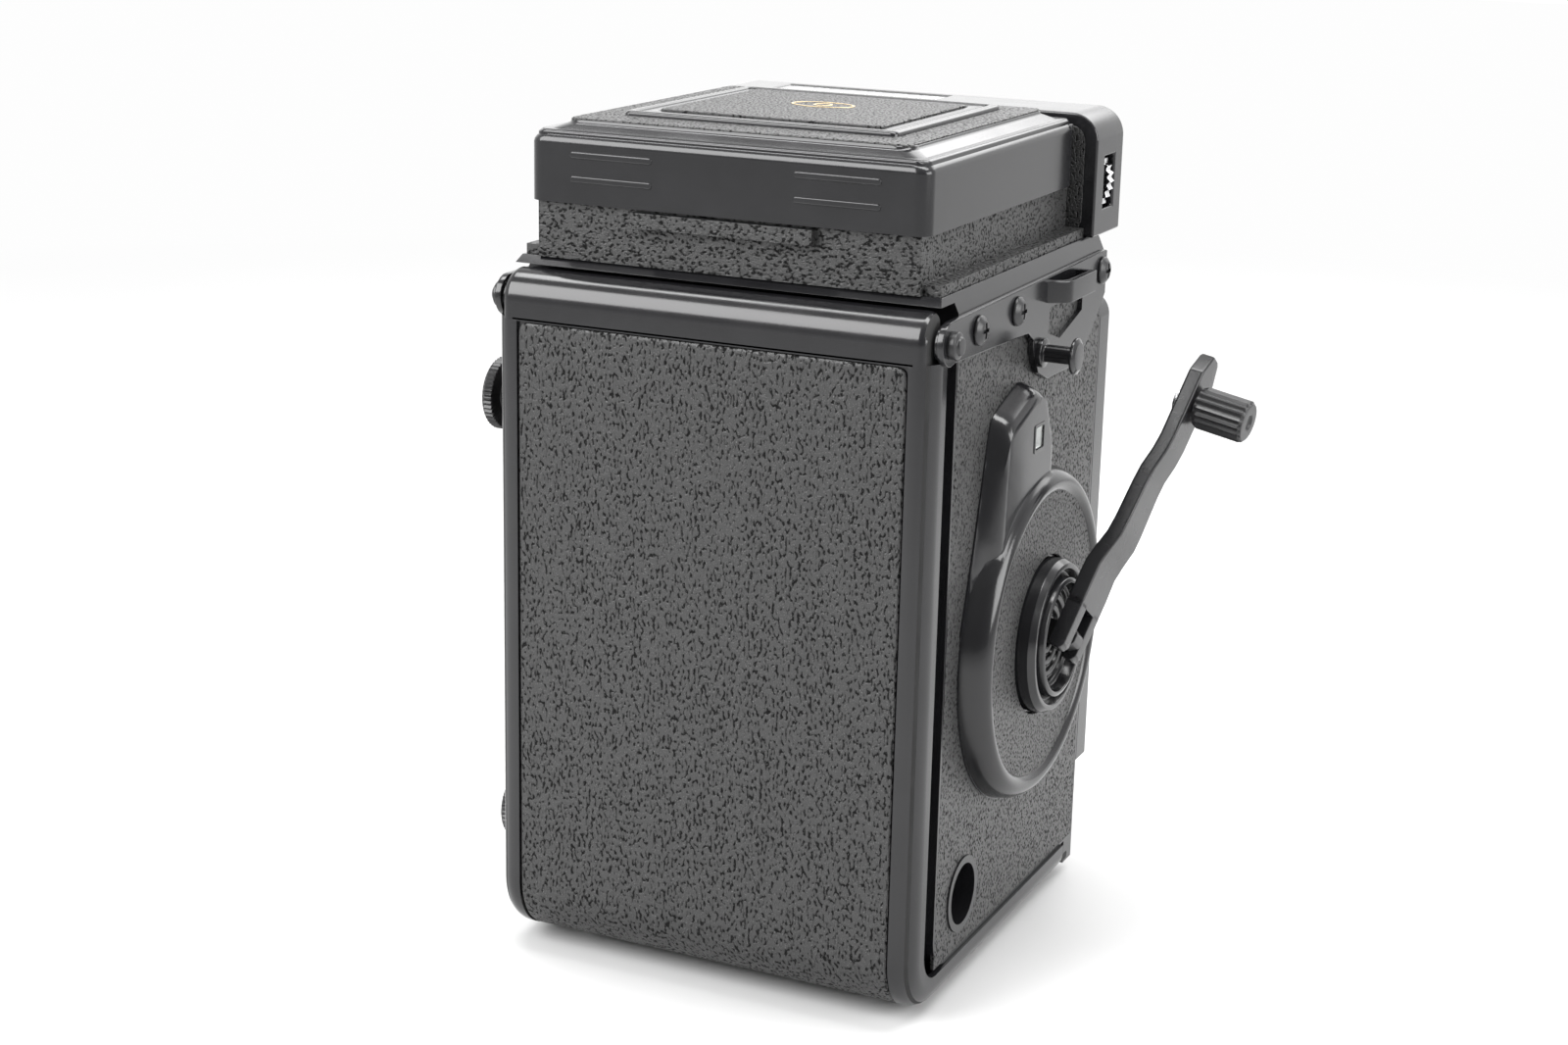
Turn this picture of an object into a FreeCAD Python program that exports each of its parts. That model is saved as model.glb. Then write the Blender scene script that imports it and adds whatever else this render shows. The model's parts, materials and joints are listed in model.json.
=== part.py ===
"""Twin lens reflex camera for 6 x 6 cm roll film, as a parametric FreeCAD document.

Row frame, millimetres: +Z up, the lenses face -Y, the wind crank is on -X.
The origin is the mouth of the tripod socket, on the mid-plane.
"""
import FreeCAD, Part
import math
import os
import Sketcher

# Driving dimensions: (alias, millimetres or degrees, what it is).
DIMENSIONS = (
    ("body_half", 38.5, "half width of the body over its leather"),
    ("body_front", 40.0, "front plate, ahead of the origin"),
    ("body_rear", 29.6, "rear edge of the side plates"),
    ("body_floor", 5.4, "underside of the body"),
    ("deck", 119.8, "top deck"),
    ("deck_half", 37.2, "half width of the deck between its chamfers"),
    ("deck_rear", 33.6, "rear edge of the deck"),
    ("chamfer", 2.9, "height of the side chamfer"),
    ("skin", 0.7, "thickness of a leather covering"),
    ("wall", 1.5, "thickness of the front plate"),
    ("lip", 1.25, "depth of the deck's overhang above the door roll"),
    ("foot_drop", 4.4, "how far the front foot hangs below the body"),
    ("foot_depth", 4.4, "front to back size of the front foot"),
    ("trap_half", 36.8, "outer half width of the light trap walls"),
    ("trap_inner", 34.5, "inner half width of the light trap walls"),
    ("trap_rear", 36.5, "rear edge of the light trap walls"),
    ("trap_top", 107.0, "top of the light trap walls"),
    ("chamber_half", 33.2, "half width of the film chambers"),
    ("chamber_split", 22.4, "top of the supply chamber behind its spool"),
    ("takeup_floor", 81.6, "bottom of the take-up chamber behind its spool"),
    ("spool_clear", 0.7, "radial room around a spool"),
    ("spool_flange", 12.5, "radius of a roll film spool's flange"),
    ("spool_half", 32.75, "half length of a roll film spool"),
    ("spool_core", 5.8, "radius of a spool's core"),
    ("flange_wide", 1.2, "thickness of a spool's flange"),
    ("spool_bore", 2.1, "radius of the hole in a spool's end"),
    ("supply_y", 17.4, "supply spool axis"),
    ("supply_z", 15.4, "supply spool axis"),
    ("takeup_y", 22.5, "take-up spool axis"),
    ("takeup_z", 93.0, "take-up spool axis"),
    ("gate_half", 28.0, "half width of the picture"),
    ("gate_low", 25.5, "lower edge of the picture"),
    ("gate_high", 78.2, "upper edge of the picture"),
    ("rail_rise", 1.4, "how far the film rails stand behind the body"),
    ("roller", 1.3, "radius of a film roller"),
    ("roller_y", 29.6, "film roller axis"),
    ("roller_half", 31.0, "half length of a film roller"),
    ("roller_rise", 1.6, "height of the upper roller's axis over the picture"),
    ("rail_in", 29.2, "inner edge of a film rail"),
    ("rail_out", 30.6, "outer edge of a film rail"),
    ("axle", 1.0, "radius of a small axle"),
    ("fit", 0.05, "radial clearance of a running fit"),
    ("gap", 0.3, "clearance between pieces that pass each other"),
    ("lens_low", 52.0, "taking lens axis"),
    ("lens_pitch", 42.0, "distance between the two lens axes"),
    ("port", 14.0, "radius of the holes for the lens tubes"),
    ("dark_half", 29.0, "half width of the exposure and mirror chambers"),
    ("mirror_y", 1.0, "middle of the mirror"),
    ("mirror_half", 27.5, "half width of the mirror"),
    ("mirror_thick", 1.2, "thickness of the mirror"),
    ("mirror_long", 53.0, "length of the mirror along its slope"),
    ("mirror_low", 26.0, "from the mirror's middle to its lower edge"),
    ("screen_half", 28.8, "half size of the focusing screen"),
    ("screen_thick", 1.2, "thickness of the focusing screen"),
    ("hinge_y", 35.0, "door hinge axis"),
    ("hinge_z", 113.0, "door hinge axis"),
    ("door_half", 39.0, "half width of the door"),
    ("door_back", 40.0, "outer face of the door"),
    ("door_wall", 1.2, "thickness of the door's shell"),
    ("door_rim", 5.3, "depth of the door's side rims"),
    ("door_front", 34.0, "front end of the door's floor"),
    ("door_corner", 11.0, "outer radius of the door's lower corner"),
    ("rim_top", 108.6, "top of the door's side rims"),
    ("roll_half", 37.6, "half length of the roll at the door's top"),
    ("panel_half", 34.6, "half width of the door's leather"),
    ("panel_top", 109.8, "top of the door's leather"),
    ("panel_skin", 0.6, "thickness of the door's leather"),
    ("socket_r", 3.0, "bore radius of the tripod socket"),
    ("socket_rim", 7.6, "outer radius of the tripod socket"),
    ("socket_deep", 3.6, "depth of the tripod socket"),
    ("dial_r", 13.0, "radius of the latch dial"),
    ("dial_low", 1.4, "underside of the latch dial, below the mouth"),
    ("foot_low", 1.5, "underside of the feet, below the mouth"),
    ("foot_r", 2.5, "radius of a foot"),
    ("foot_x", 27.0, "feet, from the mid-plane"),
    ("foot_y", 26.5, "feet, ahead of and behind the origin"),
    ("bolt_half", 5.0, "half width of the latch bolt"),
    ("pad_y", 31.4, "front face of the pressure plate"),
    ("pad_half", 30.5, "half width of the pressure plate"),
    ("pad_low", 22.5, "lower edge of the pressure plate"),
    ("pad_high", 81.0, "upper edge of the pressure plate"),
    ("spring_low", 38.0, "lower spring behind the pressure plate"),
    ("spring_high", 66.0, "upper spring behind the pressure plate"),
    ("spring_r", 3.0, "outer radius of a pressure plate spring"),
    ("hood_half", 33.8, "half width of the hood's base"),
    ("hood_rear", 34.2, "rear face of the hood's base"),
    ("hood_front", 32.0, "front face of the hood's base"),
    ("hood_top", 136.0, "top edge of the hood's base"),
    ("hood_wall", 1.8, "wall of the hood's base"),
    ("strip_out", 36.8, "outer edge of the leather strips beside the hood"),
    ("strip_rise", 1.7, "thickness of the leather strips"),
    ("cover_half", 35.1, "half width of the hood's cover"),
    ("cover_rear", 35.2, "rear face of the hood's cover"),
    ("cover_front", 31.7, "front edge of the hood's cover"),
    ("cover_low", 129.1, "lower edge of the cover's skirt"),
    ("cover_top", 141.8, "top of the hood's cover"),
    ("cover_wall", 0.7, "thickness of the cover's skirt"),
    ("cover_corner", 2.5, "radius of the cover's upright corners"),
    ("room_corner", 1.2, "radius of the corners inside the cover's skirt"),
    ("knuckle_r", 0.5, "radius of the knuckles of the flap, wings and magnifier"),
    ("pivot_y", 29.5, "hood cover hinge axis, ahead of the origin"),
    ("pivot_z", 139.3, "hood cover hinge axis"),
    ("bar_half", 16.0, "half length of the bar on the hood's rear"),
    ("bar_low", 126.2, "lower edge of the bar on the hood's rear"),
    ("bar_high", 128.7, "upper edge of the bar on the hood's rear"),
    ("frame_half", 24.3, "half width of the raised frame on the cover"),
    ("frame_long", 23.0, "half length of the raised frame on the cover"),
    ("ring_half", 29.9, "half width of the leather on the cover"),
    ("ring_front", 27.6, "front edge of the leather on the cover"),
    ("ring_rear", 31.0, "rear edge of the leather on the cover"),
    ("flap_half", 22.5, "half width of the finder flap"),
    ("flap_front", 20.5, "front edge of the finder flap"),
    ("flap_rear", 21.2, "rear edge of the finder flap"),
    ("flap_pivot", 19.5, "finder flap hinge axis, ahead of the origin"),
    ("flap_top", 143.4, "top of the finder flap"),
    ("flap_thick", 1.2, "thickness of the finder flap"),
    ("leaf_long", 34.0, "length of the rear leaf"),
    ("leaf_y", 31.2, "rear leaf hinge axis"),
    ("leaf_z", 124.3, "rear leaf hinge axis"),
    ("wing_x", 31.0, "wing hinge axis, from the mid-plane"),
    ("wing_z", 139.65, "wing hinge axis"),
    ("wing_front", 27.5, "front end of a wing"),
    ("wing_rear", 30.5, "rear end of a wing"),
    ("loupe_y", 16.0, "middle of the magnifier"),
    ("loupe_r", 10.0, "radius of the magnifier's lens"),
    ("loupe_half", 12.2, "half width of the magnifier's frame"),
    ("loupe_pivot", 30.0, "magnifier hinge axis"),
    ("loupe_z", 139.3, "magnifier hinge axis"),
    ("sheet", 0.8, "thickness of the hood's sheet metal"),
    ("meter_front", 48.0, "front face of the meter housing"),
    ("meter_rear", 33.5, "rear face of the meter housing"),
    ("meter_top", 141.4, "top of the meter housing"),
    ("meter_wall", 1.5, "wall of the meter housing"),
    ("speed_x", 32.3, "film speed dial axis, from the mid-plane"),
    ("speed_z", 129.0, "film speed dial axis"),
    ("speed_r", 6.9, "radius of the film speed dial"),
    ("scale_left", 26.0, "left end of the meter's window"),
    ("scale_right", 6.0, "right end of the meter's window, from the mid-plane"),
    ("needle_x", 10.0, "meter needle axis"),
    ("battery_y", 20.0, "battery axis, ahead of the origin"),
    ("battery_z", 32.0, "battery axis"),
    ("battery_r", 7.8, "radius of the battery"),
    ("meter_round", 5.0, "radius of the housing's upper corners"),
    ("crank_y", 5.6, "wind crank axis, ahead of the origin"),
    ("crank_z", 55.6, "wind crank axis"),
    ("disc_r", 29.3, "radius of the crank cover"),
    ("ring_r", 27.4, "outer radius of the crank cover's ring"),
    ("ring_in", 24.9, "inner radius of the crank cover's ring"),
    ("cover_lift", 3.6, "height of the crank cover over the leather"),
    ("ring_lift", 5.0, "height of the crank cover's ring"),
    ("cup_r", 13.5, "radius of the crank hub's cup"),
    ("counter_y", 5.2, "frame counter axis"),
    ("counter_z", 85.5, "frame counter axis"),
    ("counter_r", 9.6, "radius of the frame counter's dial"),
    ("pane_front", 2.3, "front edge of the counter's window"),
    ("pane_rear", 1.7, "rear edge of the counter's window"),
    ("pane_low", 89.4, "lower edge of the counter's window"),
    ("pane_high", 93.4, "upper edge of the counter's window"),
    ("arm_long", 46.0, "from the arm's fold pin to its knob"),
    ("arm_thick", 2.8, "thickness of the crank arm"),
    ("arm_root", 5.6, "half width of the crank arm at its root"),
    ("arm_tip", 4.0, "half width of the crank arm at its knob"),
    ("arm_over", 9.0, "how far the arm runs on past its knob"),
    ("arm_step", 2.4, "how far the arm steps outward on its way to the knob"),
    ("arm_turn", 32.0, "turn of the arm from upright, in degrees"),
    ("arm_lean", 11.5, "outward lean of the arm, in degrees"),
    ("fold_x", 47.6, "distance of the fold pin from the mid-plane"),
    ("hub_gear", 8.0, "pitch radius of the crank's gear"),
    ("idle_gear", 16.3, "pitch radius of the wind gear"),
    ("spool_gear", 6.2, "pitch radius of the take-up gear"),
    ("tooth", 0.15, "how far the gears' tips stay inside their pitch circles"),
    ("gear_out", 36.4, "outer face of the gears"),
    ("gear_wide", 1.8, "thickness of the gears"),
    ("knob_r", 6.4, "radius of a spool knob"),
    ("knob_out", 48.6, "outer face of a spool knob"),
    ("focus_y", 14.0, "focusing knob axis, ahead of the origin"),
    ("focus_z", 61.0, "focusing knob axis"),
    ("focus_r", 15.5, "radius of the focusing knob"),
    ("board_half", 38.4, "half width of the lens board"),
    ("board_low", 20.0, "lower edge of the lens board"),
    ("board_top", 108.3, "upper edge of the lens board"),
    ("board_back", 40.5, "rear face of the lens board, ahead of the origin"),
    ("board_thick", 5.0, "thickness of the lens board"),
    ("barrel_r", 16.8, "radius of a lens barrel"),
    ("lens_front", 61.0, "front of the lens barrels, ahead of the origin"),
    ("glass_r", 11.0, "radius of a front lens"),
    ("tube_r", 12.9, "radius of a lens tube behind the board"),
    ("blade_r", 10.0, "radius of the shutter and iris discs"),
    ("guide_x", 33.5, "guide rods, from the mid-plane"),
    ("guide_low", 50.0, "lower guide rods"),
    ("guide_high", 100.0, "upper guide rods"),
    ("guide_r", 2.0, "radius of a guide rod"),
    ("wheel_x", 21.0, "aperture and shutter wheels, from the mid-plane"),
    ("wheel_z", 73.0, "aperture and shutter wheels"),
    ("wheel_r", 7.0, "radius of the aperture and shutter wheels"),
    ("timer_z", 36.0, "self-timer axis"),
    ("stem_r", 1.5, "radius of the wheels' and lever's stems"),
    ("button_x", 28.0, "release button axis, from the mid-plane"),
    ("button_z", 13.2, "release button axis"),
    ("button_r", 3.7, "radius of the release button"),
    ("collar_r", 6.0, "radius of the release's locking collar"),
    ("sync_y", 31.0, "flash socket axis, ahead of the origin"),
    ("sync_z", 13.0, "flash socket axis"),
    ("sync_r", 4.0, "radius of the flash socket"),
    ("shoe_front", 37.5, "front end of the accessory shoe"),
    ("shoe_rear", 19.5, "rear end of the accessory shoe, ahead of the origin"),
    ("shoe_low", 76.8, "lower edge of the accessory shoe"),
    ("shoe_high", 98.8, "upper edge of the accessory shoe"),
    ("shoe_out", 43.4, "outer face of the accessory shoe"),
    ("lug_thick", 1.2, "thickness of the strap lug plate"),
    ("screw_r", 2.5, "radius of a lug screw's head"),
    ("bridge_rear", 9.1, "rear end of the lug plate's bridge, ahead of the origin"),
    ("bridge_front", 23.0, "front end of the lug plate's bridge"),
    ("bridge_low", 112.5, "lower edge of the lug plate's bridge"),
    ("bridge_high", 116.3, "upper edge of the lug plate's bridge"),
    ("bridge_out", 43.2, "outer face of the lug plate's bridge"),
    ("stud_y", 5.5, "strap stud axis, ahead of the origin"),
    ("stud_z", 104.6, "strap stud axis"),
    ("stud_out", 46.6, "outer face of the strap stud"),
)

doc = FreeCAD.newDocument("twin_lens_camera")
sheet = doc.addObject("Spreadsheet::Sheet", "dims")


class Size:
    """A size that knows both its spreadsheet expression and its value."""

    def __init__(self, text, value):
        self.text = text
        self.value = value

    def __add__(self, other):
        other = as_size(other)
        return Size(f"({self.text} + {other.text})", self.value + other.value)

    def __sub__(self, other):
        other = as_size(other)
        return Size(f"({self.text} - {other.text})", self.value - other.value)

    def __mul__(self, factor):
        return Size(f"({self.text} * {factor})", self.value * factor)

    def __neg__(self):
        return Size(f"(0 - {self.text})", -self.value)

    def __radd__(self, other):
        return as_size(other) + self

    def __rsub__(self, other):
        return as_size(other) - self


def as_size(value):
    """Any number or Size as a Size."""
    if isinstance(value, Size):
        return value
    return Size(f"({value})", float(value))


class Dimensions:
    """The spreadsheet's cells, one attribute for each alias."""


d = Dimensions()
for row, (alias, value, note) in enumerate(DIMENSIONS, 1):
    sheet.set(f"A{row}", alias)
    sheet.set(f"B{row}", str(value))
    sheet.set(f"C{row}", note)
    sheet.setAlias(f"B{row}", alias)
    setattr(d, alias, Size(f"dims.{alias}", value))
doc.recompute()

X_AXIS = FreeCAD.Vector(1, 0, 0)
Y_AXIS = FreeCAD.Vector(0, 1, 0)
Z_AXIS = FreeCAD.Vector(0, 0, 1)
AXES = {"x": X_AXIS, "y": Y_AXIS, "z": Z_AXIS}
sub_parts = []


def bind(obj, prop, size):
    """Bind one property to the spreadsheet."""
    obj.setExpression(prop, as_size(size).text)


def place(obj, x=0, y=0, z=0):
    """Bind an object's position to the spreadsheet."""
    for letter, size in zip("xyz", (x, y, z)):
        bind(obj, f"Placement.Base.{letter}", size)


def box(name, x, y, z):
    """A block between two limits along each axis."""
    obj = doc.addObject("Part::Box", name)
    for prop, (low, high) in zip(("Length", "Width", "Height"), (x, y, z)):
        bind(obj, prop, as_size(high) - low)
    place(obj, x[0], y[0], z[0])
    return obj


def rod(name, axis, centre, radius, span):
    """A cylinder along one axis; centre gives the other two coordinates in order."""
    obj = doc.addObject("Part::Cylinder", name)
    bind(obj, "Radius", radius)
    bind(obj, "Height", as_size(span[1]) - span[0])
    obj.Placement = FreeCAD.Placement(FreeCAD.Vector(), FreeCAD.Rotation(Z_AXIS, AXES[axis]))
    where = list(centre)
    where.insert("xyz".index(axis), span[0])
    place(obj, *where)
    return obj


def tube(name, axis, centre, outer, inner, span):
    """A ring or pipe along one axis."""
    return cut(name, rod(name + "_outer", axis, centre, outer, span),
               rod(name + "_inner", axis, centre, inner, span))


def fuse(name, *shapes):
    """Several overlapping shapes as one solid."""
    obj = doc.addObject("Part::MultiFuse", name)
    obj.Shapes = list(shapes)
    obj.Refine = True
    return obj


def group(name, *shapes):
    """Several separate solids in one sub-part."""
    obj = doc.addObject("Part::Compound", name)
    obj.Links = list(shapes)
    return obj


def cut(name, base, *tools):
    """The base with every tool taken away."""
    obj = doc.addObject("Part::Cut", name)
    obj.Base = base
    obj.Tool = tools[0] if len(tools) == 1 else group(name + "_tools", *tools)
    obj.Refine = True
    return obj


def mirrored(name, source):
    """The same shape on the other side of the mid-plane."""
    obj = doc.addObject("Part::Mirroring", name)
    obj.Source = source
    obj.Normal = X_AXIS
    return obj


class Solid:
    """A PartDesign body made of padded, pocketed and turned outlines."""

    def __init__(self, name, at=(0, 0, 0)):
        self.name = name
        self.body = doc.addObject("PartDesign::Body", name)
        place(self.body, *at)
        self.count = 0

    def next_name(self, kind):
        """A name for the next feature of this body."""
        self.count += 1
        return f"{self.name}_{kind}{self.count}"

    def sketch(self, role, points, offset=0):
        """A closed outline of straight lines on one of the origin planes."""
        outline = self.body.newObject("Sketcher::SketchObject", self.next_name("sketch"))
        plane = next(f for f in self.body.Origin.OriginFeatures if f.Role == role)
        outline.AttachmentSupport = [(plane, "")]
        outline.MapMode = "FlatFace"
        bind(outline, "AttachmentOffset.Base.z", offset)
        corners = [(as_size(u), as_size(v)) for u, v in points]
        spots = [FreeCAD.Vector(u.value, v.value, 0) for u, v in corners]
        for number, spot in enumerate(spots):
            following = spots[(number + 1) % len(spots)]
            outline.addGeometry(Part.LineSegment(spot, following), False)
        for number in range(len(spots)):
            following = (number + 1) % len(spots)
            outline.addConstraint(Sketcher.Constraint("Coincident", number, 2, following, 1))
        for number, corner in enumerate(corners):
            for kind, size in zip(("DistanceX", "DistanceY"), corner):
                index = outline.addConstraint(
                    Sketcher.Constraint(kind, -1, 1, number, 1, size.value))
                bind(outline, f"Constraints[{index}]", size)
        return outline

    def extrude(self, kind, role, points, span):
        """Pad or pocket an outline between two limits along the plane's normal."""
        low, high = (as_size(limit) for limit in span)
        if role == "XZ_Plane":
            low, high = -high, -low
        outline = self.sketch(role, points, low)
        feature = self.body.newObject(f"PartDesign::{kind}", self.next_name(kind.lower()))
        feature.Profile = outline
        feature.Reversed = kind == "Pocket"
        bind(feature, "Length", high - low)
        doc.recompute()
        return feature

    def pad(self, role, points, span):
        """Add an extruded outline."""
        return self.extrude("Pad", role, points, span)

    def pocket(self, role, points, span):
        """Take an extruded outline away, and make sure that it cut something."""
        before = self.body.Shape.Volume
        feature = self.extrude("Pocket", role, points, span)
        if self.body.Shape.Volume > before - 1e-6:
            raise RuntimeError(f"{feature.Name} cut nothing")
        return feature

    def turn(self, axis, points):
        """Revolve an outline of (along, radius) points about a row axis."""
        role = "XY_Plane" if axis == "x" else "YZ_Plane"
        if axis == "z":
            points = [(radius, along) for along, radius in points]
        outline = self.sketch(role, points)
        feature = self.body.newObject("PartDesign::Revolution", self.next_name("turn"))
        feature.Profile = outline
        feature.ReferenceAxis = (outline, ["V_Axis" if axis == "z" else "H_Axis"])
        feature.Angle = 360
        doc.recompute()
        return feature

    def fillet(self, radius, chosen):
        """Round the edges of the last feature that the test picks out."""
        base = self.body.Tip
        names = [f"Edge{number}" for number, edge in enumerate(base.Shape.Edges, 1)
                 if chosen(edge)]
        if not names:
            raise RuntimeError(f"{self.name} has no such edge")
        feature = self.body.newObject("PartDesign::Fillet", self.next_name("fillet"))
        feature.Base = (base, names)
        bind(feature, "Radius", radius)
        doc.recompute()
        return feature


def edge_at(axis, **where):
    """A test for straight edges along one axis whose middle lies at the given coordinates."""
    def test(edge):
        if edge.Curve.TypeId != "Part::GeomLine":
            return False
        if abs(abs(edge.Curve.Direction.dot(AXES[axis])) - 1) > 1e-6:
            return False
        middle = edge.CenterOfMass
        return all(abs(abs(getattr(middle, letter)) - as_size(size).value) < 0.02
                   for letter, size in where.items())
    return test


def keep(obj, label):
    """Mark a finished object as a sub-part with its own node name."""
    if isinstance(obj, Solid):
        obj = obj.body
    obj.Label = label
    sub_parts.append(obj)
    return obj


def rectangle(low_u, high_u, low_v, high_v):
    """The corners of a rectangle, anticlockwise."""
    return [(low_u, low_v), (high_u, low_v), (high_u, high_v), (low_u, high_v)]


# ---------------------------------------------------------------- the body

def body_casting():
    """The die-cast body: side plates, chambers, light traps, deck and front foot."""
    solid = Solid("casting")
    foot_y = -d.body_front + d.foot_depth
    solid.pad("YZ_Plane", [
        (-d.body_front, d.body_floor - d.foot_drop),
        (foot_y, d.body_floor - d.foot_drop),
        (foot_y, d.body_floor),
        (d.body_rear, d.body_floor),
        (d.body_rear, d.deck - d.lip),
        (d.hinge_y, d.deck - d.lip),
        (d.deck_rear, d.deck),
        (-d.body_front, d.deck)], (-d.body_half, d.body_half))
    solid.fillet(6.0, edge_at("x", y=d.body_rear, z=d.body_floor))
    for side in (1, -1):
        corners = [(d.deck_half, d.deck), (d.body_half, d.deck - d.chamfer),
                   (d.body_half + 1, d.deck - d.chamfer), (d.body_half + 1, d.deck + 1),
                   (d.deck_half, d.deck + 1)]
        if side < 0:
            corners = [(-u, v) for u, v in reversed(corners)]
        solid.pocket("XZ_Plane", corners, (-d.body_front - 1, d.hinge_y + 1))
    # Film chambers, open to the rear; the supply chamber is open below as well.
    room = d.spool_flange + d.spool_clear
    half = d.chamber_half
    solid.pocket("YZ_Plane", rectangle(d.supply_y - room, d.trap_rear, -1, d.supply_z),
                 (-half, half))
    solid.pocket("YZ_Plane", rectangle(d.supply_y, d.trap_rear, d.supply_z - 1, d.chamber_split),
                 (-half, half))
    solid.pocket("YZ_Plane", rectangle(d.takeup_y, d.trap_rear, d.takeup_floor, d.takeup_z + room),
                 (-half, half))
    # Exposure chamber, widening from the taking lens to the picture gate.
    solid.pocket("YZ_Plane", [
        (-d.body_front + d.wall, d.lens_low - d.port), (2, 33.6),
        (d.body_rear + 1, d.gate_low), (d.body_rear + 1, d.gate_high),
        (0, 68.5), (-d.body_front + d.wall, d.lens_low + d.port)],
        (-d.gate_half, d.gate_half))
    # Mirror chamber with its 45 degree bed.
    lens_high = d.lens_low + d.lens_pitch
    bed = lens_high - d.mirror_y - d.mirror_thick * math.sqrt(2) - 0.1
    solid.pocket("YZ_Plane", [
        (-d.body_front + d.wall, bed - 18), (-18, bed - 18), (22, bed + 22), (22, d.deck - 2.8),
        (-d.body_front + d.wall, d.deck - 2.8)], (-d.dark_half, d.dark_half))
    solid.pocket("XY_Plane", rectangle(-27.5, 27.5, -26, 27.5), (d.deck - 3, d.deck + 1))
    solid.pocket("XY_Plane", rectangle(-29, 29, -27.5, 29), (d.deck - 1.5, d.deck + 1))
    # Seats for the side leathers.
    for low, high in ((d.body_half - d.skin, d.body_half + 1),
                      (-d.body_half - 1, -d.body_half + d.skin)):
        solid.pocket("YZ_Plane", rectangle(-d.body_front + 0.7, d.body_rear - 0.7,
                                           d.body_floor + 0.5, d.deck - 3.9), (low, high))
    # Notch in the foot for the latch bolt.
    solid.pocket("YZ_Plane", rectangle(-d.body_front + 1.4, foot_y + 1, 0, 4.0), (-7, 7))
    outer = solid.body
    room_centre = (d.supply_y, d.supply_z)
    room_y = (d.supply_y, d.takeup_y)
    room_z = (d.supply_z, d.takeup_z)
    tools = [rod(f"chamber{n}", "x", (room_y[n], room_z[n]), room, (-half, half))
             for n in range(2)]
    for name, height in (("low", d.lens_low), ("high", lens_high)):
        tools.append(rod(f"port_{name}", "y", (0, height), d.port,
                         (-d.body_front - 1, -d.body_front + d.wall + 1)))
    for name, height in (("low", d.gate_low - d.roller), ("high", d.gate_high + d.roller_rise)):
        groove = d.roller + 0.4
        tools.append(rod(f"groove_{name}", "x", (d.roller_y, height), groove,
                         (-d.roller_half - 0.4, d.roller_half + 0.4)))
        tools.append(rod(f"bearing_{name}", "x", (d.roller_y, height), d.axle + d.fit,
                         (-d.chamber_half, d.chamber_half)))
    # Holes through the side walls: crank, knobs, spool peep hole, battery, focusing shaft.
    crank = (-d.crank_y, d.crank_z)
    tools.append(rod("crank_hole", "x", crank, 3.05, (-d.body_half - 1, -31)))
    tools.append(rod("peep_hole", "x", (d.supply_y, d.supply_z), 5.3, (-d.body_half - 1, -half)))
    for n in range(2):
        tools.append(rod(f"knob_hole{n}", "x", (room_y[n], room_z[n]), d.spool_bore,
                         (half - 1, d.body_half + 1)))
    battery = (-d.battery_y, d.battery_z)
    tools.append(rod("battery_room", "x", battery, d.battery_r + 0.4, (31, d.body_half + 1)))
    tools.append(rod("focus_hole", "x", (-d.focus_y, d.focus_z), 2.56, (31, d.body_half + 1)))
    for n, centre in enumerate(guide_places()):
        tools.append(rod(f"guide_bore{n}", "y", centre, d.guide_r + 0.06,
                         (-d.body_front - 1, -17)))
    # Gear room in the crank side wall, and the holes in its inner wall.
    gear_in = -d.gear_out + d.gear_wide
    gear_room = (-d.body_half - 1, gear_in + 0.2)
    for name, centre, radius in gear_places():
        tools.append(rod(f"{name}_room", "x", centre, radius + 0.3, gear_room))
    tools.append(rod("takeup_axle_hole", "x", (d.takeup_y, d.takeup_z), 2.05, (-36, -half + 1)))
    tools.append(rod("idle_axle_hole", "x", gear_places()[1][1], d.axle + d.fit, (-36, -32)))
    tools.append(rod("button_hole", "y", (-d.button_x, d.button_z), 2.3,
                     (-d.body_front - 1, -30)))
    tools.append(rod("sync_hole", "x", (-d.sync_y, d.sync_z), d.sync_r,
                     (d.body_half - 3, d.body_half + 1)))
    hollow = cut("casting_hollow", outer, *tools)
    additions = [hollow, tube("peep_ring", "x", room_centre, 6.6, 5.3,
                              (-d.body_half - 0.3, -d.body_half + d.skin + 0.1))]
    for side in (1, -1):
        mark = "left" if side > 0 else "right"
        inner, outer_x = d.trap_inner, d.trap_half
        span = (inner, outer_x) if side > 0 else (-outer_x, -inner)
        additions.append(box(f"trap_{mark}", span, (d.body_rear - 1, d.trap_rear),
                             (d.body_floor + 6, d.trap_top)))
        rail = (d.rail_in, d.rail_out) if side > 0 else (-d.rail_out, -d.rail_in)
        additions.append(box(f"rail_{mark}", rail, (d.body_rear - 1, d.body_rear + d.rail_rise),
                             (d.gate_low + 1, d.gate_high - 1)))
        ear = (d.roll_half + d.gap, d.body_half) if side > 0 else \
            (-d.body_half, -d.roll_half - d.gap)
        additions.append(fuse(f"ear_{mark}",
                              box(f"ear_web_{mark}", ear, (d.body_rear - 2, d.hinge_y),
                                  (d.hinge_z - 3, d.hinge_z + 3)),
                              rod(f"ear_eye_{mark}", "x", (d.hinge_y, d.hinge_z), 3.0, ear)))
    whole = fuse("casting_whole", *additions)
    pins = rod("hinge_pin_bore", "x", (d.hinge_y, d.hinge_z), d.axle,
               (-d.body_half - 1, d.body_half + 1))
    keep(cut("casting_final", whole, pins), "body_casting")


def guide_places():
    """Axes of the four guide rods of the lens board."""
    return [(side * d.guide_x.value, height)
            for height in (d.guide_low, d.guide_high) for side in (1, -1)]


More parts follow.
